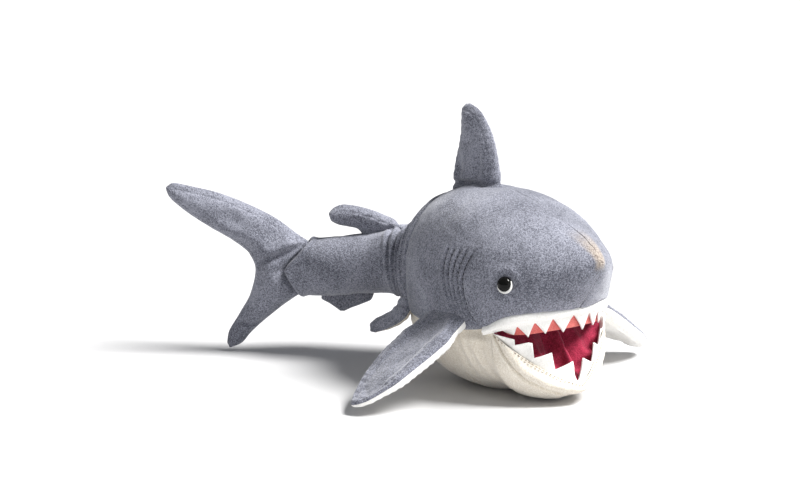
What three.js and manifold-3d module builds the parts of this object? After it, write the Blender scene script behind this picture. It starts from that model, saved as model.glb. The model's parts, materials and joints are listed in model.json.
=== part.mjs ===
// A stuffed plush shark: velour skins over fibre stuffing, sewn fins, safety eyes and a working mouth.
// Millimetres, +Z up, nose towards +X. The origin is under the middle of the shark, on the surface it lies on.
import * as THREE from 'three';
import { ParametricGeometry } from 'three/addons/geometries/ParametricGeometry.js';
import { mergeVertices } from 'three/addons/utils/BufferGeometryUtils.js';
import Module from 'manifold-3d';

const wasm = await Module();
wasm.setup();

// ---- Driving dimensions. Shapes are measured from the tip of the nose, which stands at NOSE.
const NOSE = new THREE.Vector3(204.75, 1.3, 128);
const FLOOR = -NOSE.z;
const SKIN = 2.6; // velour and its backing
const GAP = 0.3; // between pieces that touch
const RUNNING = 1.5; // between pieces that turn against each other

// The spine runs straight back from the nose, then bends towards the shark's right.
const BEND_START = 175;
const BEND_END = 300;
const BEND_ANGLE = THREE.MathUtils.degToRad(46);

// Upper and lower outline and half width of the body, each as [distance along the spine, value].
const TOP_LINE = [[0, 0], [8, 8], [20, 16], [36, 23], [60, 32], [90, 42], [120, 47], [150, 47],
  [180, 40], [205, 27], [222, 12], [236, 1], [262, -5], [300, -14], [330, -17], [360, -19]];
const BELLY_LINE = [[0, 0], [8, -21], [20, -41], [36, -61], [60, -104], [90, -126], [120, -131], [145, -130],
  [180, -115], [205, -95], [222, -79], [236, -70], [262, -68], [300, -69], [330, -72], [360, -75]];
const HALF_WIDTH = [[0, 0], [8, 15], [20, 30], [36, 47], [60, 64], [90, 74], [120, 76], [150, 74],
  [180, 68], [205, 58], [222, 48], [236, 38], [262, 34], [300, 30], [330, 26], [360, 20]];
const TRUNK_ROUNDNESS = 2.3; // superellipse power: 2 is an ellipse
const TAIL_ROUNDNESS = 2;

const TRUNK_END = 210;
const WAIST = { s: 228, z: -36, radius: 37, half_height: 39 };
const TAIL_END = { s: 352, z: -46, radius: 19, half_height: 26 };

// The jaw turns on a line through the corners of the mouth.
const JAW_HINGE = { x: -66.5, z: -62, half_width: 64 };
const LIP_SLOPE = 0.366; // rise of the upper lip for each millimetre forward
const JAW_REACH = 43; // from hinge to chin, along X
const JAW_DROP = 48; // from hinge to chin, along Z
const JAW_OUTLINE_POWER = 1.3; // how pointed the chin is from above
const CHIN_LIFT = 11.5; // how far the chin curls up from the floor
const FLATTENED = 1.5; // the jaw's roundness that its weight presses flat

// ---- Curves and solids
/** Smooth value at s through [s, value] points. */
function along(points, s) {
  const last = points.length - 1;
  if (s <= points[0][0]) return points[0][1];
  if (s >= points[last][0]) return points[last][1];
  const i = points.findIndex(([at]) => at > s) - 1;
  const slope = (k) => (points[k + 1][1] - points[k][1]) / (points[k + 1][0] - points[k][0]);
  const tangent = (k) => {
    if (k === 0) return slope(0);
    if (k === last) return slope(last - 1);
    const before = slope(k - 1);
    const after = slope(k);
    return before * after <= 0 ? 0 : (2 * before * after) / (before + after);
  };
  const span = points[i + 1][0] - points[i][0];
  const t = (s - points[i][0]) / span;
  const a = points[i][1];
  const b = points[i + 1][1];
  return (2 * t ** 3 - 3 * t ** 2 + 1) * a + (t ** 3 - 2 * t ** 2 + t) * span * tangent(i)
    + (3 * t ** 2 - 2 * t ** 3) * b + (t ** 3 - t ** 2) * span * tangent(i + 1);
}

/** A power that keeps the sign, for superellipses. */
const bulge = (value, power) => Math.sign(value) * Math.abs(value) ** (2 / power);

/** Place and heading of the spine at distance s behind the nose. */
function spine(s) {
  const rate = BEND_ANGLE / (BEND_END - BEND_START);
  const angle = rate * THREE.MathUtils.clamp(s - BEND_START, 0, BEND_END - BEND_START);
  const straight = Math.min(s, BEND_START);
  const beyond = Math.max(s - BEND_END, 0);
  return {
    x: -straight - Math.sin(angle) / rate - beyond * Math.cos(angle),
    y: -(1 - Math.cos(angle)) / rate - beyond * Math.sin(angle),
    angle,
  };
}

/** A point beside the spine: lateral is towards the shark's left. */
function besideSpine(s, lateral, z) {
  const at = spine(s);
  return new THREE.Vector3(at.x - lateral * Math.sin(at.angle), at.y + lateral * Math.cos(at.angle), z);
}

/** A point of the body at s and angle phi, where 0 is the left side and 90 degrees is the back. */
function bodyPoint(s, phi, inset = 0, roundness = TRUNK_ROUNDNESS) {
  const top = along(TOP_LINE, s);
  const bottom = along(BELLY_LINE, s);
  const height = Math.max((top - bottom) / 2 - inset, 0.2);
  const width = Math.max(along(HALF_WIDTH, s) - inset, 0.2);
  const lateral = bulge(Math.cos(phi), roundness) * width;
  return besideSpine(s, lateral, (top + bottom) / 2 + bulge(Math.sin(phi), roundness) * height);
}

/** Manifold solid of a closed three.js geometry, with its faces turned outwards. */
function solid(geometry) {
  const bare = geometry.index ? geometry.clone() : mergeVertices(geometry);
  bare.deleteAttribute('normal');
  bare.deleteAttribute('uv');
  const merged = mergeVertices(bare, 1e-4);
  const index = merged.index.array;
  const triangles = [];
  for (let k = 0; k < index.length; k += 3) {
    const [a, b, c] = [index[k], index[k + 1], index[k + 2]];
    if (a !== b && b !== c && c !== a) triangles.push(a, b, c);
  }
  const points = merged.attributes.position.array;
  const at = (i) => new THREE.Vector3(points[3 * i], points[3 * i + 1], points[3 * i + 2]);
  let volume = 0;
  for (let k = 0; k < triangles.length; k += 3) {
    volume += at(triangles[k]).dot(at(triangles[k + 1]).cross(at(triangles[k + 2])));
  }
  if (volume < 0) {
    for (let k = 0; k < triangles.length; k += 3) {
      [triangles[k + 1], triangles[k + 2]] = [triangles[k + 2], triangles[k + 1]];
    }
  }
  return new wasm.Manifold(new wasm.Mesh({
    numProp: 3, vertProperties: new Float32Array(points), triVerts: new Uint32Array(triangles),
  }));
}

/** Closed solid through rings of points. Each end is closed by a fan to the middle of its ring. */
function loft(rings) {
  const middle = (ring) => ring.reduce((sum, p) => sum.add(p), new THREE.Vector3()).divideScalar(ring.length);
  const first = middle(rings[0]);
  const last = middle(rings[rings.length - 1]);
  const around = rings[0].length;
  const rows = [rings[0].map(() => first), ...rings, rings[0].map(() => last)];
  const surface = (u, v, target) => {
    target.copy(rows[Math.round(v * (rows.length - 1))][Math.round(u * around) % around]);
  };
  return solid(new ParametricGeometry(surface, around, rows.length - 1));
}

/** Slab of a side view outline, given as [x, z] points and cut through the whole width. */
function sideCut(outline, width = 400) {
  const shape = new THREE.Shape(outline.map(([x, z]) => new THREE.Vector2(x, z)));
  const slab = new THREE.ExtrudeGeometry(shape, { depth: width, bevelEnabled: false });
  slab.rotateX(Math.PI / 2).translate(0, width / 2, 0);
  return solid(slab);
}

/** Upright ellipsoid of revolution on the spine, which a turning end keeps as it turns. */
function knuckle(joint, grow = 0) {
  const at = besideSpine(joint.s, 0, joint.z);
  const ball = new THREE.SphereGeometry(1, 16, 10).rotateX(Math.PI / 2);
  const r = joint.radius + grow;
  ball.scale(r, r, joint.half_height + grow).translate(at.x, at.y, at.z);
  return solid(ball);
}

/** Copies a list of numbers from first to last in equal steps. */
const steps = (first, last, count) => Array.from({ length: count + 1 }, (_, k) => first + (last - first) * k / count);

// ---- The group and its colours
const shark = new THREE.Group();
shark.position.copy(NOSE);
const GREY = { color: 0x7d8592, roughness: 0.95, metalness: 0 };
const CREAM = { color: 0xece4d6, roughness: 0.95, metalness: 0 };
const WHITE = { color: 0xf4f2ee, roughness: 0.9, metalness: 0 };
const GUM = { color: 0xc4504c, roughness: 0.9, metalness: 0 };
const LINING = { color: 0x6e1229, roughness: 0.9, metalness: 0 };
const FIBRE = { color: 0xf6f6f4, roughness: 1, metalness: 0 };
const BLACK = { color: 0x0b0a0a, roughness: 0.12, metalness: 0 };
const PALE_PLASTIC = { color: 0xe6e6e2, roughness: 0.4, metalness: 0 };
const THREAD = { color: 0x4c525c, roughness: 0.8, metalness: 0 };

/** Adds a manifold solid to the group as a named mesh. */
function add(name, body, finish) {
  // Cuts along nearly equal faces can leave specks, so only the largest body is kept.
  const [largest] = body.decompose().sort((one, other) => other.volume() - one.volume());
  const { vertProperties, triVerts } = largest.getMesh();
  const geometry = new THREE.BufferGeometry();
  geometry.setAttribute('position', new THREE.BufferAttribute(new Float32Array(vertProperties), 3));
  geometry.setIndex(new THREE.BufferAttribute(new Uint32Array(triVerts), 1));
  geometry.computeVertexNormals();
  const mesh = new THREE.Mesh(geometry, new THREE.MeshStandardMaterial(finish));
  mesh.name = name;
  shark.add(mesh);
}

// ---- Head and trunk
const TRUNK_STATIONS = [0.6, 5, 12, 22, 36, 52, 70, 92, 118, 145, 170, 192, TRUNK_END];
const AROUND = 20;
const NOSE_INSET = 1.5; // the stuffing stays this many skins behind the nose

/** The whole trunk, its skin line moved in by inset. */
function trunk(inset = 0) {
  const stations = TRUNK_STATIONS.filter((s) => inset === 0 || s > NOSE_INSET * inset);
  return loft(stations.map((s) => steps(0, 2 * Math.PI, AROUND).slice(0, -1)
    .map((phi) => bodyPoint(s, phi, inset))));
}

/** All that lies on one side of the spine. side is 1 on the left, -1 on the right. */
function besideHalf(side) {
  const stations = [-30, 100, BEND_START, 195, 215, 235, 255, 275, BEND_END, 420];
  const frame = [[GAP / 2, 120], [100, 120], [100, -160], [GAP / 2, -160]];
  return loft(stations.map((s) => frame.map(([lateral, z]) => besideSpine(s, side * lateral, z))));
}

const lipHeight = (x) => JAW_HINGE.z + LIP_SLOPE * (x - JAW_HINGE.x);
const MUZZLE = 30; // well in front of the nose
const BELOW = FLOOR - 30;
const SLIT_LEAN = 10; // the throat fold leaves this much room for the jaw to drop
/** All that is in front of the throat and under the upper lip. */
const mouthCut = (grow = 0) => sideCut([
  [JAW_HINGE.x - grow, JAW_HINGE.z + grow], [MUZZLE, lipHeight(MUZZLE) + grow], [MUZZLE, BELOW],
  [JAW_HINGE.x - SLIT_LEAN - grow, BELOW], [JAW_HINGE.x - 1.5 - grow, JAW_HINGE.z - 2],
]);

// Side view line between the grey back and the pale lip and belly.
const COLOUR_LINE = [[MUZZLE, -20], [-31, -42], [-50, -49], [-62, -56], [-74, -63], [-100, -66], [-160, -70],
  [-240, -66]];
const LIP_FRONT = -76;
const above = sideCut([...COLOUR_LINE.map(([x, z]) => [x, z + GAP / 2]), [-240, 150], [MUZZLE, 150]]);
const below = sideCut([...COLOUR_LINE.map(([x, z]) => [x, z - GAP / 2]), [-240, BELOW], [MUZZLE, BELOW]]);
const behindLip = sideCut([[LIP_FRONT, 150], [-240, 150], [-240, BELOW], [LIP_FRONT, BELOW]]);
const ahead = sideCut([[LIP_FRONT + GAP, 150], [MUZZLE, 150], [MUZZLE, BELOW], [LIP_FRONT + GAP, BELOW]]);
const standing = sideCut([[-420, FLOOR], [MUZZLE, FLOOR], [MUZZLE, 200], [-420, 200]]);

// Safety eyes: a dome on a ribbed stem that goes through the skin into a lock washer.
const EYE = { s: 55, phi: 0.18, dome: 7.4, height: 5.6, stem: 2, length: 15, disc: 8.8 };
const WASHER = { radius: 9, thickness: 1.6, depth: 8 };
const POCKET = 10.5;

/** Quaternion, outward direction and point of the skin at s and phi. */
function onSkin(s, phi, side) {
  const nudge = 0.5;
  const along_s = bodyPoint(s + nudge, phi).sub(bodyPoint(s - nudge, phi));
  const around = bodyPoint(s, phi + 0.02).sub(bodyPoint(s, phi - 0.02));
  const out = around.cross(along_s).normalize();
  const point = bodyPoint(s, phi);
  if (out.y * point.y < 0) out.negate();
  if (side < 0) {
    point.y *= -1;
    out.y *= -1;
  }
  return { point, out, turn: new THREE.Quaternion().setFromUnitVectors(new THREE.Vector3(0, 1, 0), out) };
}

/** Solid of revolution, its profile given as [radius, height] along the outward direction of the eye. */
function eyeLathe(side, profile, segments = 12) {
  const at = onSkin(EYE.s, EYE.phi, side);
  const turned = new THREE.LatheGeometry(profile.map(([r, h]) => new THREE.Vector2(r, h)), segments);
  turned.applyQuaternion(at.turn).translate(at.point.x, at.point.y, at.point.z);
  return solid(turned);
}
const DISC_LIFT = 0.9;
const DISC_THICKNESS = 0.9;
const DOME_BASE = DISC_LIFT + DISC_THICKNESS + GAP;
const rod = (side, radius, low, high) => eyeLathe(side, [[0, low], [radius, low], [radius, high], [0, high]], 10);

const eyeHoles = rod(1, EYE.stem + GAP, -30, 10).add(rod(-1, EYE.stem + GAP, -30, 10));
const POCKET_DEPTH = 18;
const pockets = rod(1, POCKET, -POCKET_DEPTH, 8).add(rod(-1, POCKET, -POCKET_DEPTH, 8));

// Roof of the mouth.
const PALATE = { x: -63, z: -60, rx: 24, ry: 43, rz: 20 };
function palate(grow = 0) {
  const dome = new THREE.SphereGeometry(1, 12, 8);
  dome.scale(PALATE.rx + grow, PALATE.ry + grow, PALATE.rz + grow).translate(PALATE.x, 0, PALATE.z);
  return solid(dome);
}
const waistRoom = knuckle(WAIST, RUNNING);
const shell = trunk().subtract(trunk(SKIN)).subtract(mouthCut()).subtract(waistRoom).intersect(standing);
for (const [side, name] of [[1, 'back_skin_left'], [-1, 'back_skin_right']]) {
  add(name, shell.intersect(besideHalf(side)).intersect(above).subtract(eyeHoles), GREY);
}
add('belly_skin', shell.intersect(below).intersect(behindLip), CREAM);
add('upper_lip_band', shell.intersect(below).intersect(ahead), WHITE);
add('mouth_palate_lining', palate(-GAP).subtract(palate(-SKIN)).subtract(mouthCut(GAP)), LINING);
add('body_stuffing', trunk(SKIN + GAP).subtract(mouthCut(SKIN)).subtract(palate()).subtract(pockets)
  .subtract(waistRoom).intersect(standing), FIBRE);

for (const [side, hand] of [[1, 'left'], [-1, 'right']]) {
  const dome = steps(0, Math.PI / 2, 4)
    .map((t) => [EYE.dome * Math.cos(t), DOME_BASE + 1 + EYE.height * Math.sin(t)]);
  add(`eye_${hand}`, eyeLathe(side, [[0, -EYE.length], [EYE.stem, -EYE.length], [EYE.stem, DOME_BASE],
    [EYE.dome, DOME_BASE], ...dome.slice(0, -1), [0, DOME_BASE + 1 + EYE.height]]), BLACK);
  const hole = EYE.stem + GAP;
  const ring = (radius, low, thickness) => eyeLathe(side, [[hole, low], [radius, low], [radius, low + thickness],
    [hole, low + thickness], [hole, low]]);
  add(`eye_disc_${hand}`, ring(EYE.disc, DISC_LIFT, DISC_THICKNESS), PALE_PLASTIC);
  add(`eye_washer_${hand}`, ring(WASHER.radius, -WASHER.depth, WASHER.thickness), PALE_PLASTIC);
}

// Five gill tucks on each side, each held by a line of thread.
const GILLS = { count: 5, first: 90, top_pitch: 7.2, top_phi: 0.49, foot: 79, foot_pitch: 4, foot_phi: -0.16, bow: 10 };
const THREAD_RADIUS = 0.7;
for (const [side, hand] of [[1, 'left'], [-1, 'right']]) {
  for (let k = 0; k < GILLS.count; k += 1) {
    const path = steps(0, 1, 5).map((t) => {
      const s = THREE.MathUtils.lerp(GILLS.first + k * GILLS.top_pitch, GILLS.foot + k * GILLS.foot_pitch, t)
        + GILLS.bow * Math.sin(Math.PI * t);
      const at = onSkin(s, THREE.MathUtils.lerp(GILLS.top_phi, GILLS.foot_phi, t), side);
      return at.point.addScaledVector(at.out, THREAD_RADIUS + 0.7);
    });
    const section = new THREE.Shape(steps(0, 2 * Math.PI, 5).slice(0, -1)
      .map((t) => new THREE.Vector2(THREAD_RADIUS * Math.cos(t), THREAD_RADIUS * Math.sin(t))));
    const thread = new THREE.ExtrudeGeometry(section, {
      steps: 5, bevelEnabled: false, extrudePath: new THREE.CatmullRomCurve3(path),
    });
    add(`gill_thread_${hand}_${k + 1}`, solid(thread), THREAD);
  }
}

// ---- Mouth: strips along the lips, as superellipses seen from above
/** Strip that follows a lip from corner to corner. edge(k) is its free edge's height over the lip. */
function lipStrip({ reach, half, slope, power, thickness, root, edge, segments, skip = 1 }) {
  const rings = steps(-1, 1, segments).map((t, k) => {
    const turn = t * Math.PI / 2;
    const forward = Math.abs(Math.cos(turn)) ** (2 / power);
    const outline = (grow) => [JAW_HINGE.x + forward * (reach + grow), bulge(Math.sin(turn), power) * (half + grow)];
    const [[x0, y0], [x1, y1]] = [outline(-thickness), outline(0)];
    const base = (x) => JAW_HINGE.z + slope * (x - JAW_HINGE.x);
    return [new THREE.Vector3(x0, y0, base(x0) + root), new THREE.Vector3(x1, y1, base(x1) + root),
      new THREE.Vector3(x1, y1, base(x1) + edge(k)), new THREE.Vector3(x0, y0, base(x1) + edge(k))];
  });
  return loft(rings.slice(skip, -skip));
}
const UPPER = { half: 55, slope: LIP_SLOPE, power: 2 };
const UPPER_TEETH = 10;
const LOWER_TEETH = 9;
const TOOTH = 12;
const VALLEY = 2.5;
/** Height of a zigzag edge at its kth point, smaller towards both ends. */
function zigzag(k, teeth, height, valley = VALLEY) {
  const count = 2 * teeth + 2;
  const size = 0.45 + 0.55 * Math.sin(Math.PI * k / count);
  return k % 2 === 0 ? valley : height * size;
}
const HANG = -0.8; // the strips start just under the lip
add('upper_gum_strip', lipStrip({ ...UPPER, reach: 28, half: 50, thickness: 2, root: HANG,
  edge: () => -7, segments: 14, skip: 3 }), GUM);
add('upper_teeth_strip', lipStrip({ ...UPPER, reach: 32, thickness: 2, root: HANG,
  edge: (k) => HANG - zigzag(k, UPPER_TEETH, TOOTH), segments: 2 * UPPER_TEETH + 2, skip: 4 }), WHITE);

// ---- Lower jaw: a scoop whose top slopes down from the hinge to the chin
const JAW_STATIONS = [0.985, 0.94, 0.86, 0.74, 0.6, 0.44, 0.26, 0.1, 0.01];
/** Half of an oval under a sloping top. The part f of the reach runs from 0 at the hinge to 1 at the chin. */
function scoop(stations, { side = 0, bottom = 0, top = 0 } = {}) {
  return loft(stations.map((f) => {
    const width = Math.max(JAW_HINGE.half_width * (1 - f ** JAW_OUTLINE_POWER) ** (1 / JAW_OUTLINE_POWER) - side, 1);
    const floor = JAW_HINGE.z - JAW_DROP * f;
    const low = Math.min(FLOOR - FLATTENED + CHIN_LIFT * f ** 5 + bottom, floor + top - 0.5);
    const arc = steps(0, Math.PI, 12).map((turn) => new THREE.Vector3(
      JAW_HINGE.x + f * JAW_REACH,
      bulge(Math.cos(turn), TRUNK_ROUNDNESS) * width,
      floor + (low - floor) * bulge(Math.sin(turn), TRUNK_ROUNDNESS),
    ));
    const rim = [-width, width].map((y) => new THREE.Vector3(JAW_HINGE.x + f * JAW_REACH, y, floor + top));
    return top === 0 ? arc : [...arc, ...rim];
  }));
}
const INNER_STATIONS = [0.87, 0.8, 0.7, 0.56, 0.42, 0.26, 0.1];
const wall = 3.2;
const TONGUE_TOP = -0.4;
const TONGUE_BOTTOM = -3;
const openBowl = scoop([...INNER_STATIONS, -0.1].map((f) => Math.max(f, 0)), { side: wall, bottom: wall, top: 6 });
/** Layer of the jaw between two levels under its sloping top. */
function jawLayer(high, low) {
  const slope = JAW_DROP / JAW_REACH;
  const lid = (level) => [-20, 60].map((x) => [JAW_HINGE.x + x, JAW_HINGE.z + level - slope * x]);
  const [[x0, z0], [x1, z1]] = lid(high);
  const [[x2, z2], [x3, z3]] = lid(low);
  return sideCut([[x0, z0], [x1, z1], [x3, z3], [x2, z2]]);
}
const jawInside = scoop([...INNER_STATIONS, 0.02], { side: wall + GAP, bottom: wall + GAP });
add('lower_jaw_skin', scoop(JAW_STATIONS).subtract(openBowl).intersect(standing), CREAM);
add('lower_jaw_lining', jawInside.intersect(jawLayer(TONGUE_TOP, TONGUE_BOTTOM)), LINING);
add('lower_jaw_stuffing', jawInside.intersect(jawLayer(TONGUE_BOTTOM - GAP, -100)), FIBRE);
add('lower_teeth_strip', lipStrip({ reach: 41, half: 62, slope: -JAW_DROP / JAW_REACH, power: JAW_OUTLINE_POWER,
  thickness: 2, root: 0.8, edge: (k) => 0.8 + zigzag(k, LOWER_TEETH, 15, 5), segments: 2 * LOWER_TEETH + 2,
  skip: 4 }), WHITE);

// ---- Tail stock
const TAIL_STATIONS = [243, 260, 280, 302, 328];
/** Ring of a knuckle, its plane leaning turn away from the joint, forwards or backwards. */
function knuckleRing(joint, turn, inset) {
  const at = spine(joint.s);
  const centre = besideSpine(joint.s, 0, joint.z);
  const forward = (joint.radius - inset) * Math.sin(turn);
  const width = (joint.radius - inset) * Math.cos(turn);
  const height = (joint.half_height - inset) * Math.cos(turn);
  return steps(0, 2 * Math.PI, TAIL_AROUND).slice(0, -1).map((phi) => new THREE.Vector3(
    centre.x + forward * Math.cos(at.angle) - width * Math.cos(phi) * Math.sin(at.angle),
    centre.y + forward * Math.sin(at.angle) + width * Math.cos(phi) * Math.cos(at.angle),
    centre.z + height * Math.sin(phi),
  ));
}
const TAIL_AROUND = 14;
const ROUND_END = [1.35, 0.95, 0.45, 0];
function tailStock(inset = 0) {
  const body = TAIL_STATIONS.map((s) => steps(0, 2 * Math.PI, TAIL_AROUND).slice(0, -1)
    .map((phi) => bodyPoint(s, phi, inset, TAIL_ROUNDNESS)));
  return loft([
    ...ROUND_END.map((turn) => knuckleRing(WAIST, turn, inset)),
    ...body,
    ...ROUND_END.toReversed().map((turn) => knuckleRing(TAIL_END, -turn, inset)),
  ]);
}
const stockShell = tailStock().subtract(tailStock(SKIN));
add('tail_skin_left', stockShell.intersect(besideHalf(1)), GREY);
add('tail_skin_right', stockShell.intersect(besideHalf(-1)), GREY);
add('tail_stuffing', tailStock(SKIN + GAP), FIBRE);

// ---- Fins: two sewn panels round a wadding, each a lens between its leading and trailing edge
/**
 * Lens solid. lead and trail are [span, chord] points of the two edges, thick is [span, half thickness].
 * place(chord, span, out) puts a point in the shark. A hinged root is rounded about its hinge line.
 */
function finSolid({ lead, trail, thick, place, spans, hinged = true }, margin = 0) {
  const ring = (span, squeeze = 1, sink = 0) => steps(0, 2 * Math.PI, 12).slice(0, -1).map((turn) => {
    const front = along(lead, span) - margin;
    const rear = along(trail, span) + margin;
    const half = Math.max((front - rear) / 2, 0.3);
    const depth = Math.max(along(thick, span) - 0.7 * margin, 0.3) * Math.sin(turn);
    return place((front + rear) / 2 + half * Math.cos(turn), span - sink * Math.abs(depth), squeeze * depth);
  });
  const root = hinged ? [75, 35].map((deg) => THREE.MathUtils.degToRad(deg)) : [];
  const inner = spans.filter((span) => margin === 0 || hinged || span > spans[0] + margin)
    .filter((span) => span < spans[spans.length - 1] - 1.5 * margin);
  return loft([...root.map((turn) => ring(spans[0], Math.cos(turn), Math.sin(turn))),
    ...inner.map((span) => ring(span)), ring(spans[spans.length - 1] - 1.5 * margin)]);
}

/** Splits a fin into its two panels and its wadding. names are the panels on the out and the back side. */
function addFin(fin, names, finishes, cut = null) {
  const trim = (body) => (cut ? body.subtract(cut) : body);
  const skinMargin = 2.2;
  const sewn = trim(finSolid(fin)).subtract(finSolid(fin, skinMargin));
  const far = 400;
  names.slice(0, 2).forEach((name, i) => {
    const side = i === 0 ? 1 : -1;
    const box = [[-far, -far], [far, -far], [far, far], [-far, far]];
    const slab = loft([0.5 * GAP, far].map((out) => box.map(([chord, span]) => fin.place(chord, span, side * out))));
    add(name, sewn.intersect(slab), finishes[i]);
  });
  add(names[2], trim(finSolid(fin, skinMargin + 4 * GAP)), FIBRE);
}

/** Upright fin on the spine: chord runs forward, span up, out to the left. */
function upright(s, z, tilt = 0) {
  const at = spine(s);
  return (chord, span, out) => {
    const forward = chord * Math.cos(tilt) - span * Math.sin(tilt);
    const up = chord * Math.sin(tilt) + span * Math.cos(tilt);
    return new THREE.Vector3(
      at.x + forward * Math.cos(at.angle) - out * Math.sin(at.angle),
      at.y + forward * Math.sin(at.angle) + out * Math.cos(at.angle),
      z + up,
    );
  };
}

const DORSAL = {
  place: upright(160, 57.5, 0.1),
  lead: [[0, 27], [12, 26], [30, 22], [48, 12], [56, 4], [60.5, -8]],
  trail: [[0, -31], [14, -27], [32, -20], [48, -18], [56, -17], [60.5, -11]],
  thick: [[0, 9], [25, 8], [45, 6], [56, 4.5], [60.5, 2]],
  spans: [0, 14, 28, 42, 52, 58, 60.5],
};
addFin(DORSAL, ['dorsal_panel_left', 'dorsal_panel_right', 'dorsal_wadding'], [GREY, GREY]);

const SECOND_DORSAL = {
  place: upright(278, -1.5, 0.2),
  lead: [[0, 20], [6, 9], [12, -2], [17, -14], [20, -24]],
  trail: [[0, -19], [5, -30], [10, -37], [15, -38], [20, -30]],
  thick: [[0, 5.5], [10, 6], [16, 5], [20, 2.5]],
  spans: [0, 6, 12, 17, 20],
};
addFin(SECOND_DORSAL, ['second_dorsal_panel_left', 'second_dorsal_panel_right', 'second_dorsal_wadding'],
  [GREY, GREY]);

const ANAL = {
  place: (chord, span, out) => upright(305, -75)(chord, -span, -out),
  lead: [[0, 24], [5, 14], [9, 4], [12, -2]],
  trail: [[0, -24], [5, -16], [9, -10], [12, -6]],
  thick: [[0, 4], [6, 4], [12, 2.4]],
  spans: [0, 5, 9, 12],
};
addFin(ANAL, ['anal_panel_right', 'anal_panel_left', 'anal_wadding'], [GREY, GREY]);

const PECTORAL = { root: [-121, 83, -67], droop: 0.55, rake: 0.08 };
const PELVIC = { root: [-192, 64, -71], droop: 0.95, rake: 0.12 };
/** Fin on the flank: chord runs forward, span outwards and down, out is its upper face. */
function flank({ root, droop, rake }, side) {
  const chordAxis = new THREE.Vector3(Math.cos(rake), side * Math.sin(rake), 0.1).normalize();
  const spanAxis = new THREE.Vector3(0, side * Math.cos(droop), -Math.sin(droop));
  spanAxis.addScaledVector(chordAxis, -spanAxis.dot(chordAxis)).normalize();
  const faceAxis = new THREE.Vector3().crossVectors(chordAxis, spanAxis).multiplyScalar(side);
  return (chord, span, out) => new THREE.Vector3(root[0], side * root[1], root[2])
    .addScaledVector(chordAxis, chord).addScaledVector(spanAxis, span).addScaledVector(faceAxis, out);
}
for (const [side, hand] of [[1, 'left'], [-1, 'right']]) {
  const pectoral = {
    place: flank(PECTORAL, side),
    lead: [[0, 27], [14, 37], [30, 36], [50, 33], [68, 30], [82, 24], [94, 17], [100, 10], [102, 5]],
    trail: [[0, -27], [12, -32], [28, -32], [48, -29], [68, -23], [84, -14], [96, -6], [102, 1]],
    thick: [[0, 7], [30, 9], [60, 8], [85, 6], [96, 4.5], [102, 2]],
    spans: [0, 14, 32, 52, 70, 86, 96, 102],
  };
  addFin(pectoral, [`pectoral_top_${hand}`, `pectoral_under_${hand}`, `pectoral_wadding_${hand}`], [GREY, CREAM]);
  const pelvic = {
    place: flank(PELVIC, side),
    lead: [[0, 11], [7, 4], [14, -10], [19, -26]],
    trail: [[0, -13], [6, -26], [13, -35], [19, -36]],
    thick: [[0, 4], [10, 4.5], [19, 2.5]],
    spans: [0, 6, 12, 16, 19],
  };
  addFin(pelvic, [`pelvic_top_${hand}`, `pelvic_under_${hand}`, `pelvic_wadding_${hand}`], [GREY, CREAM]);
}

// The tail fin is one lens from its lower tip to its upper tip, hollowed round the end of the tail stock.
const CAUDAL = {
  place: (chord, span, out) => upright(TAIL_END.s, 0)(chord, span, out),
  lead: [[-125, -62], [-110, -44], [-92, -24], [-76, -6], [-66, 0], [-20, 0], [-10, -2], [4, -20], [18, -46],
    [30, -76], [36, -108]],
  trail: [[-125, -66], [-113, -68], [-92, -58], [-70, -48], [-46, -44], [-32, -49], [-20, -62], [-4, -85],
    [14, -110], [26, -122], [33, -124], [36, -118]],
  thick: [[-125, 2.4], [-112, 5], [-80, 8], [-46, 9.5], [-12, 9], [14, 7.5], [28, 5], [36, 2.4]],
  spans: [-125, -118, -98, -78, -62, -46, -30, -14, 4, 18, 30, 36],
  hinged: false,
};
addFin(CAUDAL, ['caudal_panel_left', 'caudal_panel_right', 'caudal_wadding'], [GREY, GREY],
  knuckle(TAIL_END, RUNNING));

export default shark;
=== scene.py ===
# %% [markdown]
# A plush shark. Every visible piece is cloth: two long grey velour panels for the back, a cream belly, a
# rolled lower jaw, padded fins and felt teeth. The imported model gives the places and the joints, and this
# file makes the cloth round them. Points are worked out in millimetres from the tip of the nose, and
# moved into the frame's metres at the end, because a plush pattern is easier to think of in millimetres.

# %% Load the frame
import json
import math

import bmesh
import bpy
import numpy as np
from mathutils import Matrix, Vector, noise


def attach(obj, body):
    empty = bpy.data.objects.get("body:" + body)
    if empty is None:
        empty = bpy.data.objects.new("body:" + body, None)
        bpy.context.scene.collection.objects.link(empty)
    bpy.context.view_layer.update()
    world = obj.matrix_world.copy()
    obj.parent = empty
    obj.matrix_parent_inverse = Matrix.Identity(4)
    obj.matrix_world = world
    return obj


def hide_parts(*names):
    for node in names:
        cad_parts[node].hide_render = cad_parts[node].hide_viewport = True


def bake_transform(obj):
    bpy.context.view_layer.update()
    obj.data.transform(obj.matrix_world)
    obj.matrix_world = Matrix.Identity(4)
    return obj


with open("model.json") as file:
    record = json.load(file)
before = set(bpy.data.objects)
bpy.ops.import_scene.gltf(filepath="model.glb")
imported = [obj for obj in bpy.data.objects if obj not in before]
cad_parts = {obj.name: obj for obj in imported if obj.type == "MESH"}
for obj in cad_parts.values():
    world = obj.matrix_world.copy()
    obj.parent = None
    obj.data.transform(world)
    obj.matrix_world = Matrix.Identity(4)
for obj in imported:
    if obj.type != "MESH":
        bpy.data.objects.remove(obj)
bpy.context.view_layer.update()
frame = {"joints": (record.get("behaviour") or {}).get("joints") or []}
joints = {joint["name"]: joint for joint in frame["joints"]}
MM = 0.001
JAW = np.array(joints["jaw_hinge"]["pos_m"]) / MM
HINGE_BACK, HINGE_DROP = 66.5, 62.0  # how far the jaw hinge lies behind and under the nose
NOSE = np.array([JAW[0] + HINGE_BACK, JAW[1], JAW[2] + HINGE_DROP])
FLOOR = -NOSE[2]

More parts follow.
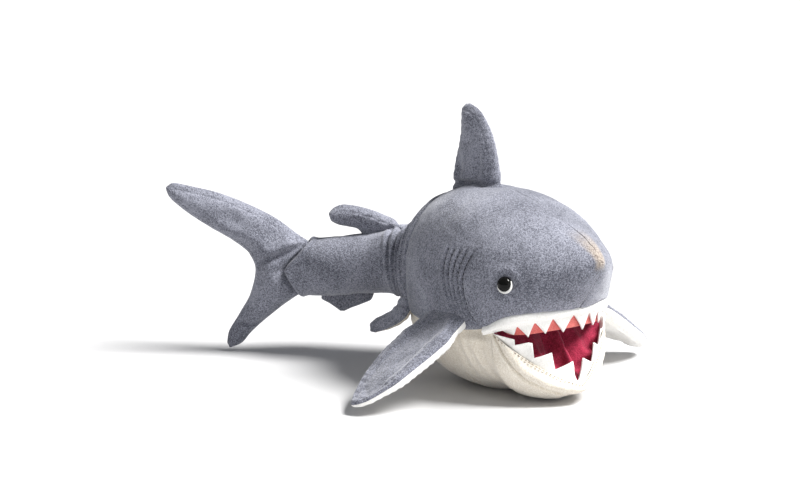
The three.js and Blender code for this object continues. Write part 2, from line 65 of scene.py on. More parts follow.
# %% [markdown]
# The body is one long tube round a bent spine. Three outlines say how high its back is, how low its belly
# is and how wide it is at each distance from the nose. A monotone cubic joins their points, so that no
# bulge appears between two points that the pattern didn't ask for.

# %% Outlines of the body
TOP_LINE = [(0, 0), (8, 8), (20, 16), (36, 23), (60, 32), (90, 42), (120, 47), (150, 47),
            (180, 40), (205, 27), (222, 12), (236, 1), (262, -5), (300, -14), (330, -17), (366, -22)]
BELLY_LINE = [(0, 0), (8, -17), (20, -35), (36, -57), (60, -102), (90, -126), (120, -131), (145, -130),
              (180, -114), (192, -103), (205, -91), (222, -77), (236, -70), (262, -67), (300, -69),
              (366, -72)]
HALF_WIDTH = [(0, 0), (8, 15), (20, 30), (36, 47), (60, 64), (90, 74), (120, 76), (150, 74), (180, 67),
              (205, 57), (222, 48), (236, 40), (262, 34), (300, 30), (330, 25), (350, 18), (366, 15)]
BEND_START, BEND_END, BEND = 175.0, 300.0, math.radians(46)
ROUNDNESS = 2.25  # superellipse power of a cross section
KEEL = 1.55  # the same over the snout, which comes to a ridge
KEEL_END, KEEL_FADE = 75.0, 55.0  # where the ridge ends behind the nose, and the length that it fades over
print("half width at the gills", dict(HALF_WIDTH)[90], "mm")

# %% [markdown]
# A point of the body is found from three numbers: how far back it is, how far round the section it lies,
# and on which side. Each section is a superellipse, a little squarer than an ellipse, because stuffed cloth
# is. From the waist to the tail the spine bends to the shark's right.

# %% Points on the body


def along(points, s):
    """Smooth value at s through (s, value) points."""
    x, y = np.array(points, float).T
    slope = np.diff(y) / np.diff(x)
    product = slope[:-1] * slope[1:]
    inner = np.where(product > 0, 2 * product / (slope[:-1] + slope[1:] + 1e-12), 0)
    tangent = np.concatenate([[slope[0]], inner, [slope[-1]]])
    s = np.clip(s, x[0], x[-1])
    i = np.clip(np.searchsorted(x, s, side="right") - 1, 0, len(x) - 2)
    span = x[i + 1] - x[i]
    t = (s - x[i]) / span
    return ((2 * t**3 - 3 * t**2 + 1) * y[i] + (t**3 - 2 * t**2 + t) * span * tangent[i]
            + (3 * t**2 - 2 * t**3) * y[i + 1] + (t**3 - t**2) * span * tangent[i + 1])


def bulge(value, power=ROUNDNESS):
    """Sine or cosine of a superellipse, from that of a circle."""
    return np.sign(value) * np.abs(value) ** (2 / power)


def spine(s):
    """x, y and heading of the spine at distance s behind the nose."""
    rate = BEND / (BEND_END - BEND_START)
    angle = rate * np.clip(s - BEND_START, 0, BEND_END - BEND_START)
    beyond = np.maximum(s - BEND_END, 0)
    x = -np.minimum(s, BEND_START) - np.sin(angle) / rate - beyond * np.cos(angle)
    y = -(1 - np.cos(angle)) / rate - beyond * np.sin(angle)
    return x, y, angle


def body_point(s, turn, side):
    """Point of the bare body. turn is -pi/2 under the belly and pi/2 on the back, side is 1 on the left."""
    s, turn = np.broadcast_arrays(np.asarray(s, float), np.asarray(turn, float))
    top, low, width = along(TOP_LINE, s), along(BELLY_LINE, s), along(HALF_WIDTH, s)
    keel = np.clip((KEEL_END - s) / KEEL_FADE, 0, 1)
    power = np.where(turn > 0, ROUNDNESS + (KEEL - ROUNDNESS) * keel * keel * (3 - 2 * keel), ROUNDNESS)
    lateral = side * bulge(np.cos(turn), power) * np.maximum(width, 0.2)
    height = (top + low) / 2 + bulge(np.sin(turn), power) * np.maximum((top - low) / 2, 0.2)
    x, y, angle = spine(s)
    height = np.maximum(height, FLOOR)
    return np.stack([x - lateral * np.sin(angle), y + lateral * np.cos(angle), height], -1)


def body_normal(s, turn, side):
    """Outward direction of the bare body."""
    ahead = body_point(s + 1, turn, side) - body_point(np.maximum(s - 1, 0.05), turn, side)
    up = body_point(s, turn + 0.03, side) - body_point(s, turn - 0.03, side)
    out = np.cross(up, ahead) * -np.asarray(side, float)[..., None]
    return out / np.maximum(np.linalg.norm(out, axis=-1, keepdims=True), 1e-9)


def turn_at(s, z):
    """The turn at which the body's skin is at height z."""
    top, low = along(TOP_LINE, s), along(BELLY_LINE, s)
    level = np.clip((z - (top + low) / 2) / np.maximum((top - low) / 2, 0.2), -1, 1)
    return np.arcsin(np.sign(level) * np.abs(level) ** (ROUNDNESS / 2))


height_at_fin = float(along(TOP_LINE, 135) - along(BELLY_LINE, 135))
print("body is", round(height_at_fin), "mm tall at the dorsal fin")

# %% [markdown]
# Cloth has thickness, and a panel's raw edge is turned into its seam. So each panel is made as a closed
# sheet: a grid of outer points, the same grid moved inwards, and a strip round the rim. Near a seam the
# sheet dips, as real plush does where the thread pulls it in.

# %% Sheets of cloth
SHEET = 1.5  # thickness of a panel, pile included


def to_mesh(name, points, faces, smooth=True):
    """Mesh object from millimetre points measured from the nose."""
    mesh = bpy.data.meshes.new(name)
    mesh.from_pydata(((np.asarray(points) + NOSE) * MM).tolist(), [], [tuple(map(int, f)) for f in faces])
    made = bmesh.new()
    made.from_mesh(mesh)
    bmesh.ops.remove_doubles(made, verts=made.verts, dist=2e-6)
    bmesh.ops.dissolve_degenerate(made, edges=made.edges, dist=1e-6)
    bmesh.ops.recalc_face_normals(made, faces=made.faces)
    made.to_mesh(mesh)
    made.free()
    mesh.polygons.foreach_set("use_smooth", [smooth] * len(mesh.polygons))
    piece = bpy.data.objects.new(name, mesh)
    bpy.context.scene.collection.objects.link(piece)
    return piece


def grid_faces(rows, cols, start=0, flip=False):
    """Quads of a grid whose points are numbered row by row."""
    i, j = np.meshgrid(np.arange(rows - 1), np.arange(cols - 1), indexing="ij")
    a = (start + i * cols + j).ravel()
    quads = np.stack([a, a + 1, a + cols + 1, a + cols], 1)
    return quads[:, ::-1] if flip else quads


def grid_normals(points, outward):
    """Directions square to a grid, turned to agree with the rough outward directions."""
    n = np.cross(np.gradient(points, axis=0), np.gradient(points, axis=1))
    n /= np.maximum(np.linalg.norm(n, axis=-1, keepdims=True), 1e-9)
    agree = np.sign((n * outward).sum(-1, keepdims=True))
    flat_spot = np.linalg.norm(n, axis=-1, keepdims=True) < 0.5
    return np.where(flat_spot, outward, n * np.where(agree == 0, 1, agree))


def closed_sheet(name, outer, normals, thickness=SHEET):
    """Sheet of cloth with its thickness, from a grid of outer points."""
    rows, cols = outer.shape[:2]
    points = np.concatenate([outer.reshape(-1, 3), (outer - thickness * normals).reshape(-1, 3)])
    back = rows * cols
    bottom, right = cols * (rows - 1), cols * np.arange(1, rows) + cols - 1
    ring = np.concatenate([np.arange(cols), right, bottom + np.arange(cols - 2, -1, -1),
                           cols * np.arange(rows - 2, 0, -1)])
    following = np.roll(ring, -1)
    rim = np.stack([ring, following, following + back, ring + back], 1)
    faces = np.concatenate([grid_faces(rows, cols), grid_faces(rows, cols, back, True), rim])
    return to_mesh(name, points, faces)


print("a panel is a closed sheet", SHEET, "mm thick")

# %% [markdown]
# The shape of a seam is a matter of distance: how far a point of the cloth lies from the edge of its
# panel. Grooves and lumps are added to the bare outline as a height along the surface's own direction.

# %% Seams and lumps


def edge_distance(points):
    """Distance along the grid to its low and high column edge, and to its first and last row."""
    across = np.linalg.norm(np.diff(points, axis=1), axis=-1)
    down = np.linalg.norm(np.diff(points, axis=0), axis=-1)
    low = np.concatenate([np.zeros((len(points), 1)), np.cumsum(across, 1)], 1)
    first = np.concatenate([np.zeros((1, points.shape[1])), np.cumsum(down, 0)], 0)
    return low, low[:, -1:] - low, first, first[-1:] - first


def dip(distance, depth, width):
    """Groove across a distance."""
    return -depth * np.exp(-(distance / width) ** 2)


def lumps(points, size, seed):
    """Smooth random field from -1 to 1, the same at every run."""
    shift = Vector((seed * 7.3, seed * 3.1, seed * 5.7))
    flat = points.reshape(-1, 3) / size
    field = np.array([noise.noise(Vector(p) + shift) for p in flat])
    return field.reshape(points.shape[:-1]) * 1.6


print("2 mm beside its middle, a dip 1 mm deep is", round(-float(dip(2.0, 1.0, 2.0)), 2), "mm deep")

# %% [markdown]
# Shader maths reads best as Python. A small wrapper round a socket turns + - * / into Math nodes, and one
# method adds any other node.

# %% Shader helper


class Wire:
    """A shader value that can be used in an expression."""

    def __init__(self, tree, socket):
        self.tree = tree
        self.socket = socket

    def _math(self, operation, *values):
        return Shader(self.tree).node("ShaderNodeMath", {"operation": operation}, dict(enumerate(values)))

    def __add__(self, other):
        return self._math("ADD", self, other)

    def __sub__(self, other):
        return self._math("SUBTRACT", self, other)

    def __rsub__(self, other):
        return self._math("SUBTRACT", other, self)

    def __mul__(self, other):
        return self._math("MULTIPLY", self, other)

    def __truediv__(self, other):
        return self._math("DIVIDE", self, other)

    def __rtruediv__(self, other):
        return self._math("DIVIDE", other, self)

    __radd__ = __add__
    __rmul__ = __mul__


class Shader:
    """One material's node tree."""

    def __init__(self, tree):
        self.tree = tree

    def node(self, kind, settings=None, inputs=None, output=0):
        """Adds a node: settings are set first, then each input is a value or a Wire."""
        made = self.tree.nodes.new(kind)
        for key, value in (settings or {}).items():
            setattr(made, key, value)
        for key, value in (inputs or {}).items():
            if isinstance(value, Wire):
                self.tree.links.new(value.socket, made.inputs[key])
            else:
                made.inputs[key].default_value = value
        return Wire(self.tree, made.outputs[output])

    def noise(self, where, scale, detail=2.0, roughness=0.5):
        sockets = {"Vector": where, "Scale": scale, "Detail": detail, "Roughness": roughness}
        return self.node("ShaderNodeTexNoise", {}, sockets)

    def bump(self, height, strength, distance):
        sockets = {"Strength": strength, "Distance": distance, "Height": height}
        return self.node("ShaderNodeBump", {}, sockets)

    def step(self, value, low, high):
        """0 below low, 1 above high, smooth between."""
        return self.node("ShaderNodeMapRange", {"interpolation_type": "SMOOTHSTEP"},
                         {0: value, 1: low, 2: high, 3: 0.0, 4: 1.0})

    def mix(self, share, one, other):
        return self.node("ShaderNodeMix", {"data_type": "RGBA"}, {0: share, 6: one, 7: other}, output=2)


def material(name, finish):
    """New material. finish(shader, coordinates) returns the inputs of its Principled shader."""
    made = bpy.data.materials.new(name)
    made.use_nodes = True
    tree = made.node_tree
    surface = tree.nodes["Principled BSDF"]
    shader = Shader(tree)
    where = shader.node("ShaderNodeTexCoord", output=3)
    for key, value in finish(shader, where).items():
        if isinstance(value, Wire):
            tree.links.new(value.socket, surface.inputs[key])
        else:
            surface.inputs[key].default_value = value
    return made


def rgb(red, green, blue):
    """Linear colour from 0 to 255 sRGB values."""
    linear = [((c / 255 + 0.055) / 1.055) ** 2.4 if c > 10 else c / 3295 for c in (red, green, blue)]
    return tuple(linear) + (1.0,)


print("middle grey is", round(rgb(128, 128, 128)[0], 3), "in linear light")

# %% [markdown]
# Velour is a knitted cloth with a cut pile about 2 mm long. Its tufts lean in different ways, so it is
# mottled: small light and dark flecks a millimetre or two across, and broad clouds where a hand has
# brushed it. The edge of the shape looks paler because the pile catches light from behind, which is what
# the sheen is for.

# %% Velour and plush
CLOUD_SCALE, TUFT_SCALE, NAP_SCALE = 26.0, 640.0, 1500.0  # noise cells per metre, from broad to fine
GREY = rgb(76, 78, 88), rgb(158, 160, 172)  # each cloth has a dark and a light fleck
CREAM = rgb(216, 206, 189), rgb(243, 237, 226)
WHITE = rgb(240, 238, 233), rgb(254, 253, 250)
BURGUNDY = rgb(118, 22, 46), rgb(172, 50, 78)


def velour(name, dark, light, fleck=0.3, bump=0.5, tint=None):
    """Short pile cloth between two colours. tint(shader, where, colour) can colour part of it."""

    def finish(shader, where):
        cloud = shader.noise(where, CLOUD_SCALE, 3.0, 0.55)
        tuft = shader.noise(where, TUFT_SCALE, 2.0, 0.6)
        nap = shader.noise(where, NAP_SCALE, 2.0, 0.6)
        share = shader.step(cloud * 0.2 + tuft * fleck + nap * (0.8 - fleck), 0.40, 0.61)
        colour = shader.mix(share, dark, light)
        if tint:
            colour = tint(shader, where, colour)
        height = tuft * 0.7 + nap * 0.5
        return {
            "Base Color": colour,
            "Roughness": 0.95,
            "Specular IOR Level": 0.15,
            "Sheen Weight": 0.4,
            "Sheen Roughness": 0.45,
            "Sheen Tint": (0.95, 0.96, 1.0, 1.0),
            "Normal": shader.bump(height, bump, 0.0012),
        }

    return material(name, finish)


cream = velour("cream_plush", CREAM[0], CREAM[1], bump=0.45)
white = velour("white_plush", WHITE[0], WHITE[1], bump=0.4)
burgundy = velour("mouth_velour", BURGUNDY[0], BURGUNDY[1], bump=0.4)
fin_grey = velour("fin_velour", GREY[0], GREY[1])
print("velours:", ", ".join(made.name for made in (cream, white, burgundy, fin_grey)))

# %% [markdown]
# A pale tan highlight is painted along the ridge of the snout, where the light catches it, with brown flecks
# in it. It is mixed into the grey velour's colour by place: strongest on the ridge near the tip, and gone
# 40 mm behind it.

# %% Grey velour with a painted highlight on the snout
NOSE_PLACE = tuple(NOSE * MM)
# painted highlight: the pale tan that lies along the lit ridge of the snout, and its brown flecks
RIDGE_HIGHLIGHT, BROWN = rgb(184, 172, 158), rgb(104, 90, 80)


def ridge_highlight_tint(shader, where, colour):
    """Painted tan highlight along the ridge of the snout, with brown flecks, strongest at the tip."""
    x, y, z = (shader.node("ShaderNodeSeparateXYZ", {}, {0: where}, output) for output in range(3))
    behind = NOSE_PLACE[0] - x
    across = (y - NOSE_PLACE[1]) / (behind * 0.22 + 0.006)
    ridge = 1 - shader.step(across * across, 0.1, 1.0)
    fade = 1 - shader.step(behind, 0.004, 0.040)
    above = shader.step(z - NOSE_PLACE[2], -0.010, -0.002)
    speckle = shader.step(shader.noise(where, 700.0, 3.0, 0.7), 0.30, 0.62)
    # mask of the painted highlight on the ridge of the snout
    share = ridge * fade * above
    return shader.mix(share * 0.85, colour, shader.mix(speckle, BROWN, RIDGE_HIGHLIGHT))


grey = velour("grey_velour", GREY[0], GREY[1], tint=ridge_highlight_tint)
print("grey velour:", len(grey.node_tree.nodes), "nodes")

# %% [markdown]
# Felt has no weave. Its fibres lie every way and are pressed flat, so the surface is even with a fine
# fuzz, and a cut edge is crisp. Sewing thread is twisted, so it has slanting strands. The eyes are
# moulded plastic, which has hardly any pattern, only a faint cloud and smears from handling.

# %% Felt, thread and plastic


def felt(name, dark, light):
    """Pressed felt between two colours."""

    def finish(shader, where):
        fibre = shader.noise(where, 900.0, 4.0, 0.75)
        patch = shader.noise(where, 60.0, 2.0)
        colour = shader.mix(shader.step(fibre * 0.7 + patch * 0.3, 0.35, 0.65), dark, light)
        return {"Base Color": colour, "Roughness": 0.92, "Specular IOR Level": 0.2, "Sheen Weight": 0.25,
                "Normal": shader.bump(fibre, 0.35, 0.0006)}

    return material(name, finish)


def spun_thread(name, colour):
    """Twisted thread, with painted shade between its strands."""

    def finish(shader, where):
        strands = {"Vector": where, "Scale": 900.0, "Distortion": 1.0}
        twist = shader.node("ShaderNodeTexWave", {"bands_direction": "DIAGONAL"}, strands)
        # painted shade: the colour is darkened between the strands, where shade falls
        groove = tuple(0.7 * c for c in colour[:3]) + (1.0,)
        return {"Base Color": shader.mix(twist, groove, colour), "Roughness": 0.7, "Sheen Weight": 0.2,
                "Normal": shader.bump(twist, 0.4, 0.0002)}

    return material(name, finish)


def moulded(name, dark, light, roughness, gloss):
    """Moulded plastic between two colours."""

    def finish(shader, where):
        cloud = shader.noise(where, 300.0, 2.0)
        smear = shader.noise(where, 90.0, 3.0)
        return {"Base Color": shader.mix(cloud, dark, light),
                "Roughness": smear * 0.08 + roughness,
                "Specular IOR Level": gloss}

    return material(name, finish)


tooth_felt = felt("white_felt", rgb(236, 234, 228), rgb(254, 253, 250))
gum_felt = felt("gum_felt", rgb(216, 100, 96), rgb(238, 136, 128))
grey_thread = spun_thread("grey_thread", rgb(58, 61, 70))
pale_thread = spun_thread("pale_thread", rgb(150, 136, 116))
eye_black = moulded("eye_plastic", (0.002, 0.002, 0.002, 1), (0.006, 0.006, 0.005, 1), 0.05, 0.15)
eye_pale = moulded("pale_plastic", rgb(214, 214, 208), rgb(248, 248, 245), 0.3, 0.5)
print("materials:", len(bpy.data.materials))

# %% [markdown]
# Every piece gets the same things when it is done: its material, the imported solids that it stands for are
# hidden, and it is hung on the body that it moves with, if it has one.

# %% Finishing a piece


def finish_piece(piece, surface, slot_name, nodes, body=None):
    """Gives a piece its material, hides the solids that it stands for, and hangs it on the body that it rides
    on; slot_name is not used.
    """
    piece.data.materials.append(surface)
    if nodes:
        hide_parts(*nodes)
    if body:
        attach(piece, body)
    return piece


def frame_place(point):
    """A point measured in millimetres from the nose, in the frame's metres."""
    return tuple((np.asarray(point, float) + NOSE) * MM)


print("jaw hinge at", np.round(frame_place((-HINGE_BACK, 0, -HINGE_DROP)), 4), "m")

# %% [markdown]
# The two grey panels of the back run from the nose to the pointed end of the tail stock. They meet along
# the ridge of the back, and from the waist backwards also along the underside. Their lower edge is the
# colour line over the pale lip and belly. Gill tucks are pinched into each flank, and slack cloth gathers
# in rings at the waist.

# %% Where the grey ends
COLOUR_LINE = [(-240, -62), (-205, -66), (-160, -69), (-110, -67), (-80, -63), (-70, -60), (-62, -54.5),
               (-52, -49.5), (-40, -46.5), (-27, -44.5), (-20, -42)]
LIP_SLOPE = 0.366  # the lip climbs towards the nose
CHIN = 22.0  # ahead of this the grey goes right round the snout
BELLY_END = (198.0, 223.0)  # the belly panel narrows to a point between these
TAIL_POINT, TAIL_TOP, TAIL_UNDER = 363.0, 340.0, 349.0  # the pointed end of the tail stock


def lip_height(x):
    """Height of the upper lip's free edge."""
    return -HINGE_DROP + LIP_SLOPE * (x + HINGE_BACK)


def colour_turn(s):
    """The turn of the lower edge of the grey panel."""
    x, _, _ = spine(s)
    edge = turn_at(s, along(COLOUR_LINE, x))
    narrowing = np.clip((s - BELLY_END[0]) / (BELLY_END[1] - BELLY_END[0]), 0, 1)
    narrowing = narrowing**2 * (3 - 2 * narrowing)
    front = np.where(s < CHIN, 1.0, 0.0)
    share = np.maximum(narrowing, front)
    return edge * (1 - share) - math.pi / 2 * share


edge_turns = np.degrees(colour_turn(np.array([50.0, 120.0, 180.0]))).round().tolist()
print("the grey ends at turns of", edge_turns, "degrees, 50, 120 and 180 mm behind the nose")

# %% [markdown]
# Three things shape the grey cloth besides its outline. Five tucks a side are pinched and stitched for
# gills. Slack cloth gathers in rings at the waist, deeper on the inner side of the bend. The eye's stem
# pulls a hollow into the cheek. Each is a height, added along the surface's own direction.

# %% Relief of the grey cloth
GILLS = 5
GILL_TOP_TURN, GILL_FOOT_TURN = 0.49, -0.16
STITCH_PITCH = 4.2
FLANK_RADIUS = 76.0  # turns a turn into millimetres of cloth


def gill_s(k, turn):
    """Where gill tuck k lies along the body at this turn."""
    t = np.clip((GILL_TOP_TURN - turn) / (GILL_TOP_TURN - GILL_FOOT_TURN), -0.2, 1.2)
    bow = 10 * np.sin(np.clip(t, 0, 1) * math.pi)
    return (90 + 7.2 * k) * (1 - t) + (79 + 4.0 * k) * t + bow


def gill_relief(s, turn):
    """Pinched tucks with the cloth puffed up between them."""
    t = (GILL_TOP_TURN - turn) / (GILL_TOP_TURN - GILL_FOOT_TURN)
    fade = np.clip((t + 0.06) / 0.12, 0, 1) * np.clip((1.10 - t) / 0.16, 0, 1)
    lift = np.zeros_like(s)
    for k in range(GILLS):
        gap = s - gill_s(k, turn)
        stitch = 0.5 + 0.5 * np.cos(turn * FLANK_RADIUS / STITCH_PITCH * 2 * math.pi + k)
        lift += dip(gap, 1.5 + 0.5 * stitch, 1.1) + 0.8 * np.exp(-((gap - 3.0) / 1.8) ** 2)
    return lift * fade


RINGS, RING_CENTRE = 8, 224.0
DEEP_RING, FAINT_RING = 4.8, 1.8  # on the inner and the outer side of the bend


def ring_relief(s, turn, side):
    """Rings of slack cloth round the waist, deep on the inside of the bend and faint outside."""
    depth = DEEP_RING if side < 0 else FAINT_RING
    pitch = 7.6 + 1.8 * np.sin(turn)
    centre = RING_CENTRE - 3.0 * np.cos(turn * 1.3)
    lift = np.zeros_like(s)
    for k in range(RINGS):
        at = centre + (k - (RINGS - 1) / 2) * pitch + 1.5 * np.sin(2.3 * turn + 1.7 * k)
        strength = (0.75 + 0.25 * math.sin(2.4 * k + 0.8)) * depth
        lift += dip(s - at, strength, 1.8) + 0.5 * strength * np.exp(-((s - at - pitch / 2) / 2.4) ** 2)
    return lift


EYE_S, EYE_TURN = 55.0, 0.18


def eye_relief(points, side):
    """Hollow under the eye, with a low swelling round it."""
    centre = body_point(EYE_S, EYE_TURN, side)
    away = np.linalg.norm(points - centre, axis=-1)
    return dip(away, 2.6, 8.5) + 1.0 * np.exp(-((away - 12.5) / 3.5) ** 2)


print(GILLS, "gill tucks and", RINGS, "rings a side")

# %% [markdown]
# The grid of a panel is close where the cloth has fine relief, at the chin, the gills and the waist, and
# wide elsewhere. Its last stations are squeezed, so that the tail stock ends in a point above and below.

# %% Grey panels
TAPER_START = 300.0


def spaced(*stretches):
    """Stations from (start, end, step) stretches."""
    parts = [np.arange(start, end, step) for start, end, step in stretches]
    return np.unique(np.concatenate(parts + [[stretches[-1][1]]]))


GREY_STATIONS = spaced((0.4, 12, 0.8), (12, 20, 1.2), (20, 24, 0.25), (24, 36, 0.8), (36, 76, 1.5),
                       (76, 128, 0.75), (128, 200, 2.0), (200, 264, 0.9), (264, 330, 2.4), (330, 363, 1.2))


def grey_panel(side, name, nodes):
    """One of the two grey panels, from its lower edge to the ridge of the back."""
    share = np.linspace(0, 1, 116)
    s = np.repeat(GREY_STATIONS[:, None], len(share), 1)
    low = colour_turn(s)
    turn = low + (math.pi / 2 - low) * share
    taper = np.where(turn > 0, TAIL_POINT - TAIL_TOP, TAIL_POINT - TAIL_UNDER)
    end = TAIL_POINT - taper * np.abs(np.sin(turn))
    squeeze = np.clip((s - TAPER_START) / (TAIL_POINT - TAPER_START), 0, 1)
    s = np.where(s > TAPER_START, TAPER_START + squeeze * (end - TAPER_START), s)
    bare = body_point(s, turn, side)
    out = body_normal(s, turn, side)
    low_edge, ridge, _, tail_edge = edge_distance(bare)
    low_edge = np.where(s < CHIN, low_edge + 1.5, low_edge)
    lift = gill_relief(s, turn) + ring_relief(s, turn, side) + eye_relief(bare, side)
    seam_depth = 0.15 + 1.45 * np.clip((s - 190) / 60, 0, 1)
    chin_fade = 0.15 + 0.85 * np.clip((s - 24) / 8, 0, 1)
    lift += dip(ridge, 1.0, 2.0) * seam_depth + dip(low_edge, 2.0, 2.2) * chin_fade
    lift += dip(tail_edge, 2.2, 1.0) + 1.3 * np.exp(-((tail_edge - 4) / 3) ** 2)
    near_nose = np.clip(s / 14, 0, 1)
    slack = 0.8 + 1.0 * np.clip((s - 235) / 30, 0, 1)
    lift = (lift + slack * lumps(bare, 42, 1 + side) + 0.3 * lumps(bare, 9, 4)) * near_nose
    sheet = closed_sheet(name, bare + out * lift[..., None], out)
    return finish_piece(sheet, grey, "grey_velour", nodes)


panels = {}
for hand, side in (("left", 1), ("right", -1)):
    panels[hand] = grey_panel(side, f"back_velour_{hand}", [f"back_skin_{hand}", f"tail_skin_{hand}"])
    print(panels[hand].name, len(panels[hand].data.polygons), "faces")

# %% [markdown]
# The toy bends at its waist, where the back gathers in rings. Nothing is cut there. The grey panels are not
# hung on any body here: only their transforms are baked into their points.

# %% Bake the back panels in place
WAIST_AHEAD, WAIST_BEHIND = 192.0, 254.0


def spine_place(s, z=-36.0):
    """Point of the spine at distance s, at one height, in the frame's metres."""
    x, y, _ = spine(np.array(float(s)))
    return frame_place((float(x), float(y), z))


for panel in panels.values():
    spine_place(WAIST_AHEAD)
    spine_place(WAIST_BEHIND)
    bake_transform(panel)
print("the back bends over", WAIST_BEHIND - WAIST_AHEAD, "mm of its length")

# %% [markdown]
# The belly is one cream panel from seam to seam, flat where the shark lies on it. It ends in a point
# under the waist, where the two grey panels take over. Its front edge lies under the throat panel.

# %% Belly
BELLY_STATIONS = spaced((110, 200, 2.0), (200, 225, 1.0))
UNDERLAP = 0.075  # turn by which the cream reaches up under the grey edge
TUCKED = 3.4  # how deep it lies there
SHOW_START, SHOW_LENGTH = 0.03, 0.06  # turns below the grey edge over which it comes out
# each crease: where it is, how far it leans, and its depth
CREASES = (80, 0.10, 1.9), (91, 0.16, 1.5), (101, 0.05, 1.3), (132, -0.08, 1.5), (150, -0.2, 1.2)


def belly_creases(s, z):
    """Slack folds running down the flank under the gills."""
    lift = np.zeros_like(s)
    for at, lean, depth in CREASES:
        gap = s - at - lean * (z + 90)
        reach = np.exp(-((z + 92) / 24) ** 2)
        lift += (dip(gap, depth, 2.6) + 0.5 * depth * np.exp(-((gap - 5) / 3.5) ** 2)) * reach
    return lift


def shown(low, turn):
    """0 where the cream lies under the grey, 1 where it has come out."""
    return np.clip((low - SHOW_START - turn) / SHOW_LENGTH, 0, 1)


across = np.linspace(-1, 1, 121)
s, share = np.meshgrid(BELLY_STATIONS, np.abs(across), indexing="ij")
side = np.where(across < 0, -1.0, 1.0)[None, :]
turn_low = colour_turn(s)
turn = -math.pi / 2 + (turn_low + UNDERLAP + math.pi / 2) * share
inset = TUCKED * (1 - shown(turn_low, turn))
bare = body_point(s, turn, side)
out = body_normal(s, turn, side)
lift = belly_creases(s, bare[..., 2]) + 0.9 * lumps(bare, 38, 7) - inset
belly = closed_sheet("belly_plush", bare + out * lift[..., None], out)
finish_piece(belly, cream, "cream_plush", ["belly_skin"])
spine_place(WAIST_AHEAD)
spine_place(WAIST_BEHIND)
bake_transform(belly)
print("belly", len(belly.data.polygons), "faces")

# %% [markdown]
# The lower jaw is a scoop of cream plush. A band about 20 mm wide is rolled round the mouth's lower edge,
# with a stitched seam along the rim and a crease where the band meets the throat.

# %% Shape of the lower jaw
JAW_REACH, JAW_DROP, JAW_HALF, JAW_POWER = 43.0, 48.0, 64.0, 1.3
THROAT_BACK = 118.0
THROAT_TUCK = 8.5  # cloth hidden under the grey, spare for the jaw's swing
THROAT_INSET = 3.6  # how deep it lies there
BAND, NO_CREASE = 20.0, 50.0  # depth of the rolled band, and a distance at which its crease no longer shows


def rim_forward(t):
    """How far forward the rim is: 0 at the corners of the mouth and 1 at the chin."""
    return np.abs(np.cos(t * math.pi / 2)) ** (2 / JAW_POWER)


def rim_point(t, grow=0.0):
    """Point of the lower jaw's rim. t runs from -1 at the right corner of the mouth to 1 at the left."""
    forward = rim_forward(t)
    x = -HINGE_BACK + forward * (JAW_REACH + grow)
    y = bulge(np.sin(t * math.pi / 2), JAW_POWER) * (JAW_HALF + grow)
    return np.stack([x, y, -HINGE_DROP - JAW_DROP * forward], -1)


def throat_row(x, side, v):
    """Points and directions down the throat at x, from its grey edge to the middle of the belly."""
    behind = (x + HINGE_BACK) / (HINGE_BACK - THROAT_BACK)
    fade_in = min(behind * 5, 1)
    low = float(colour_turn(np.array([-x]))[0])
    tuck = THROAT_TUCK * fade_in
    first_turn = low + max(UNDERLAP * 1.6 * behind, tuck / FLANK_RADIUS)
    turn = first_turn - (first_turn + math.pi / 2) * v
    spot = body_point(np.full_like(v, -x), turn, side)
    drop = -HINGE_DROP + (FLOOR + HINGE_DROP) * bulge(np.sin(v * math.pi / 2)) + tuck * (1 - v) ** 8
    hinge_y = side * JAW_HALF * bulge(np.cos(v * math.pi / 2))
    hinge_spot = np.stack([np.full_like(v, x), hinge_y, drop], -1)
    near = np.clip(1 - behind * 1.8, 0, 1) ** 1.5
    spot = spot * (1 - near) + hinge_spot * near
    normal = body_normal(np.full_like(v, -x), turn, side)
    spot = spot - normal * (THROAT_INSET * (1 - shown(low, turn)) * fade_in)[:, None]
    return spot, normal, np.full_like(v, NO_CREASE)


def jaw_row(t, v):
    """Points and directions down the scoop of the jaw, from its rim to the chin."""
    rim = rim_point(np.array(t))
    forward = float(rim_forward(np.array(t)))
    base = np.array([-HINGE_BACK + JAW_REACH * forward * 0.5, 0.0])
    lowest = FLOOR + 6.0 * forward**5
    reach = bulge(np.cos(v * math.pi / 2))
    depth = bulge(np.sin(v * math.pi / 2))
    outwards = (rim[:2] - base) / np.linalg.norm(rim[:2] - base)
    roll = 3.6 * np.sin(np.clip(v * 2.4, 0, 1) * math.pi) * min(1.0, forward * 3 + 0.2)
    flat = base + (rim[:2] - base) * reach[:, None]
    flat = flat + outwards * roll[:, None]
    spot = np.concatenate([flat, (rim[2] + (lowest - rim[2]) * depth)[:, None]], 1)
    down = np.concatenate([[0], np.cumsum(np.linalg.norm(np.diff(spot, axis=0), axis=1))])
    normal = np.stack([reach * outwards[0], reach * outwards[1], -depth], -1)
    return spot, normal, down - BAND * min(1.0, forward * 1.9 + 0.05)


print("rim from corner to corner", round(2 * JAW_HALF), "mm, reaching", JAW_REACH, "mm forward")

# %% [markdown]
# The rows run down the right of the throat, round the rim, and back along the left. The crease under the
# rolled band is a groove, with the cloth full above it.

# %% Lower jaw panel
v = np.linspace(0, 1, 60) ** 1.25
throat = np.linspace(-THROAT_BACK, -HINGE_BACK - 1.5, 26)
rim_t = np.sin(np.linspace(-math.pi / 2, math.pi / 2, 150))
rows = [throat_row(x, -1.0, v) for x in throat] + [jaw_row(t, v) for t in rim_t]
rows += [throat_row(x, 1.0, v) for x in throat[::-1]]
jaw_points, jaw_out, crease_gap = (np.array(column) for column in zip(*rows))
jaw_out = jaw_out / np.linalg.norm(jaw_out, axis=-1, keepdims=True)
jaw_out = grid_normals(jaw_points, jaw_out)
crease = dip(crease_gap, 3.2, 2.2) + 1.6 * np.exp(-((crease_gap + 9) / 6) ** 2)
lift = crease + belly_creases(-jaw_points[..., 0], jaw_points[..., 2]) * (crease_gap > 30)
lift += 0.9 * lumps(jaw_points, 30, 11) + 0.35 * lumps(jaw_points, 8, 12)
jaw_outer = jaw_points + jaw_out * lift[..., None]
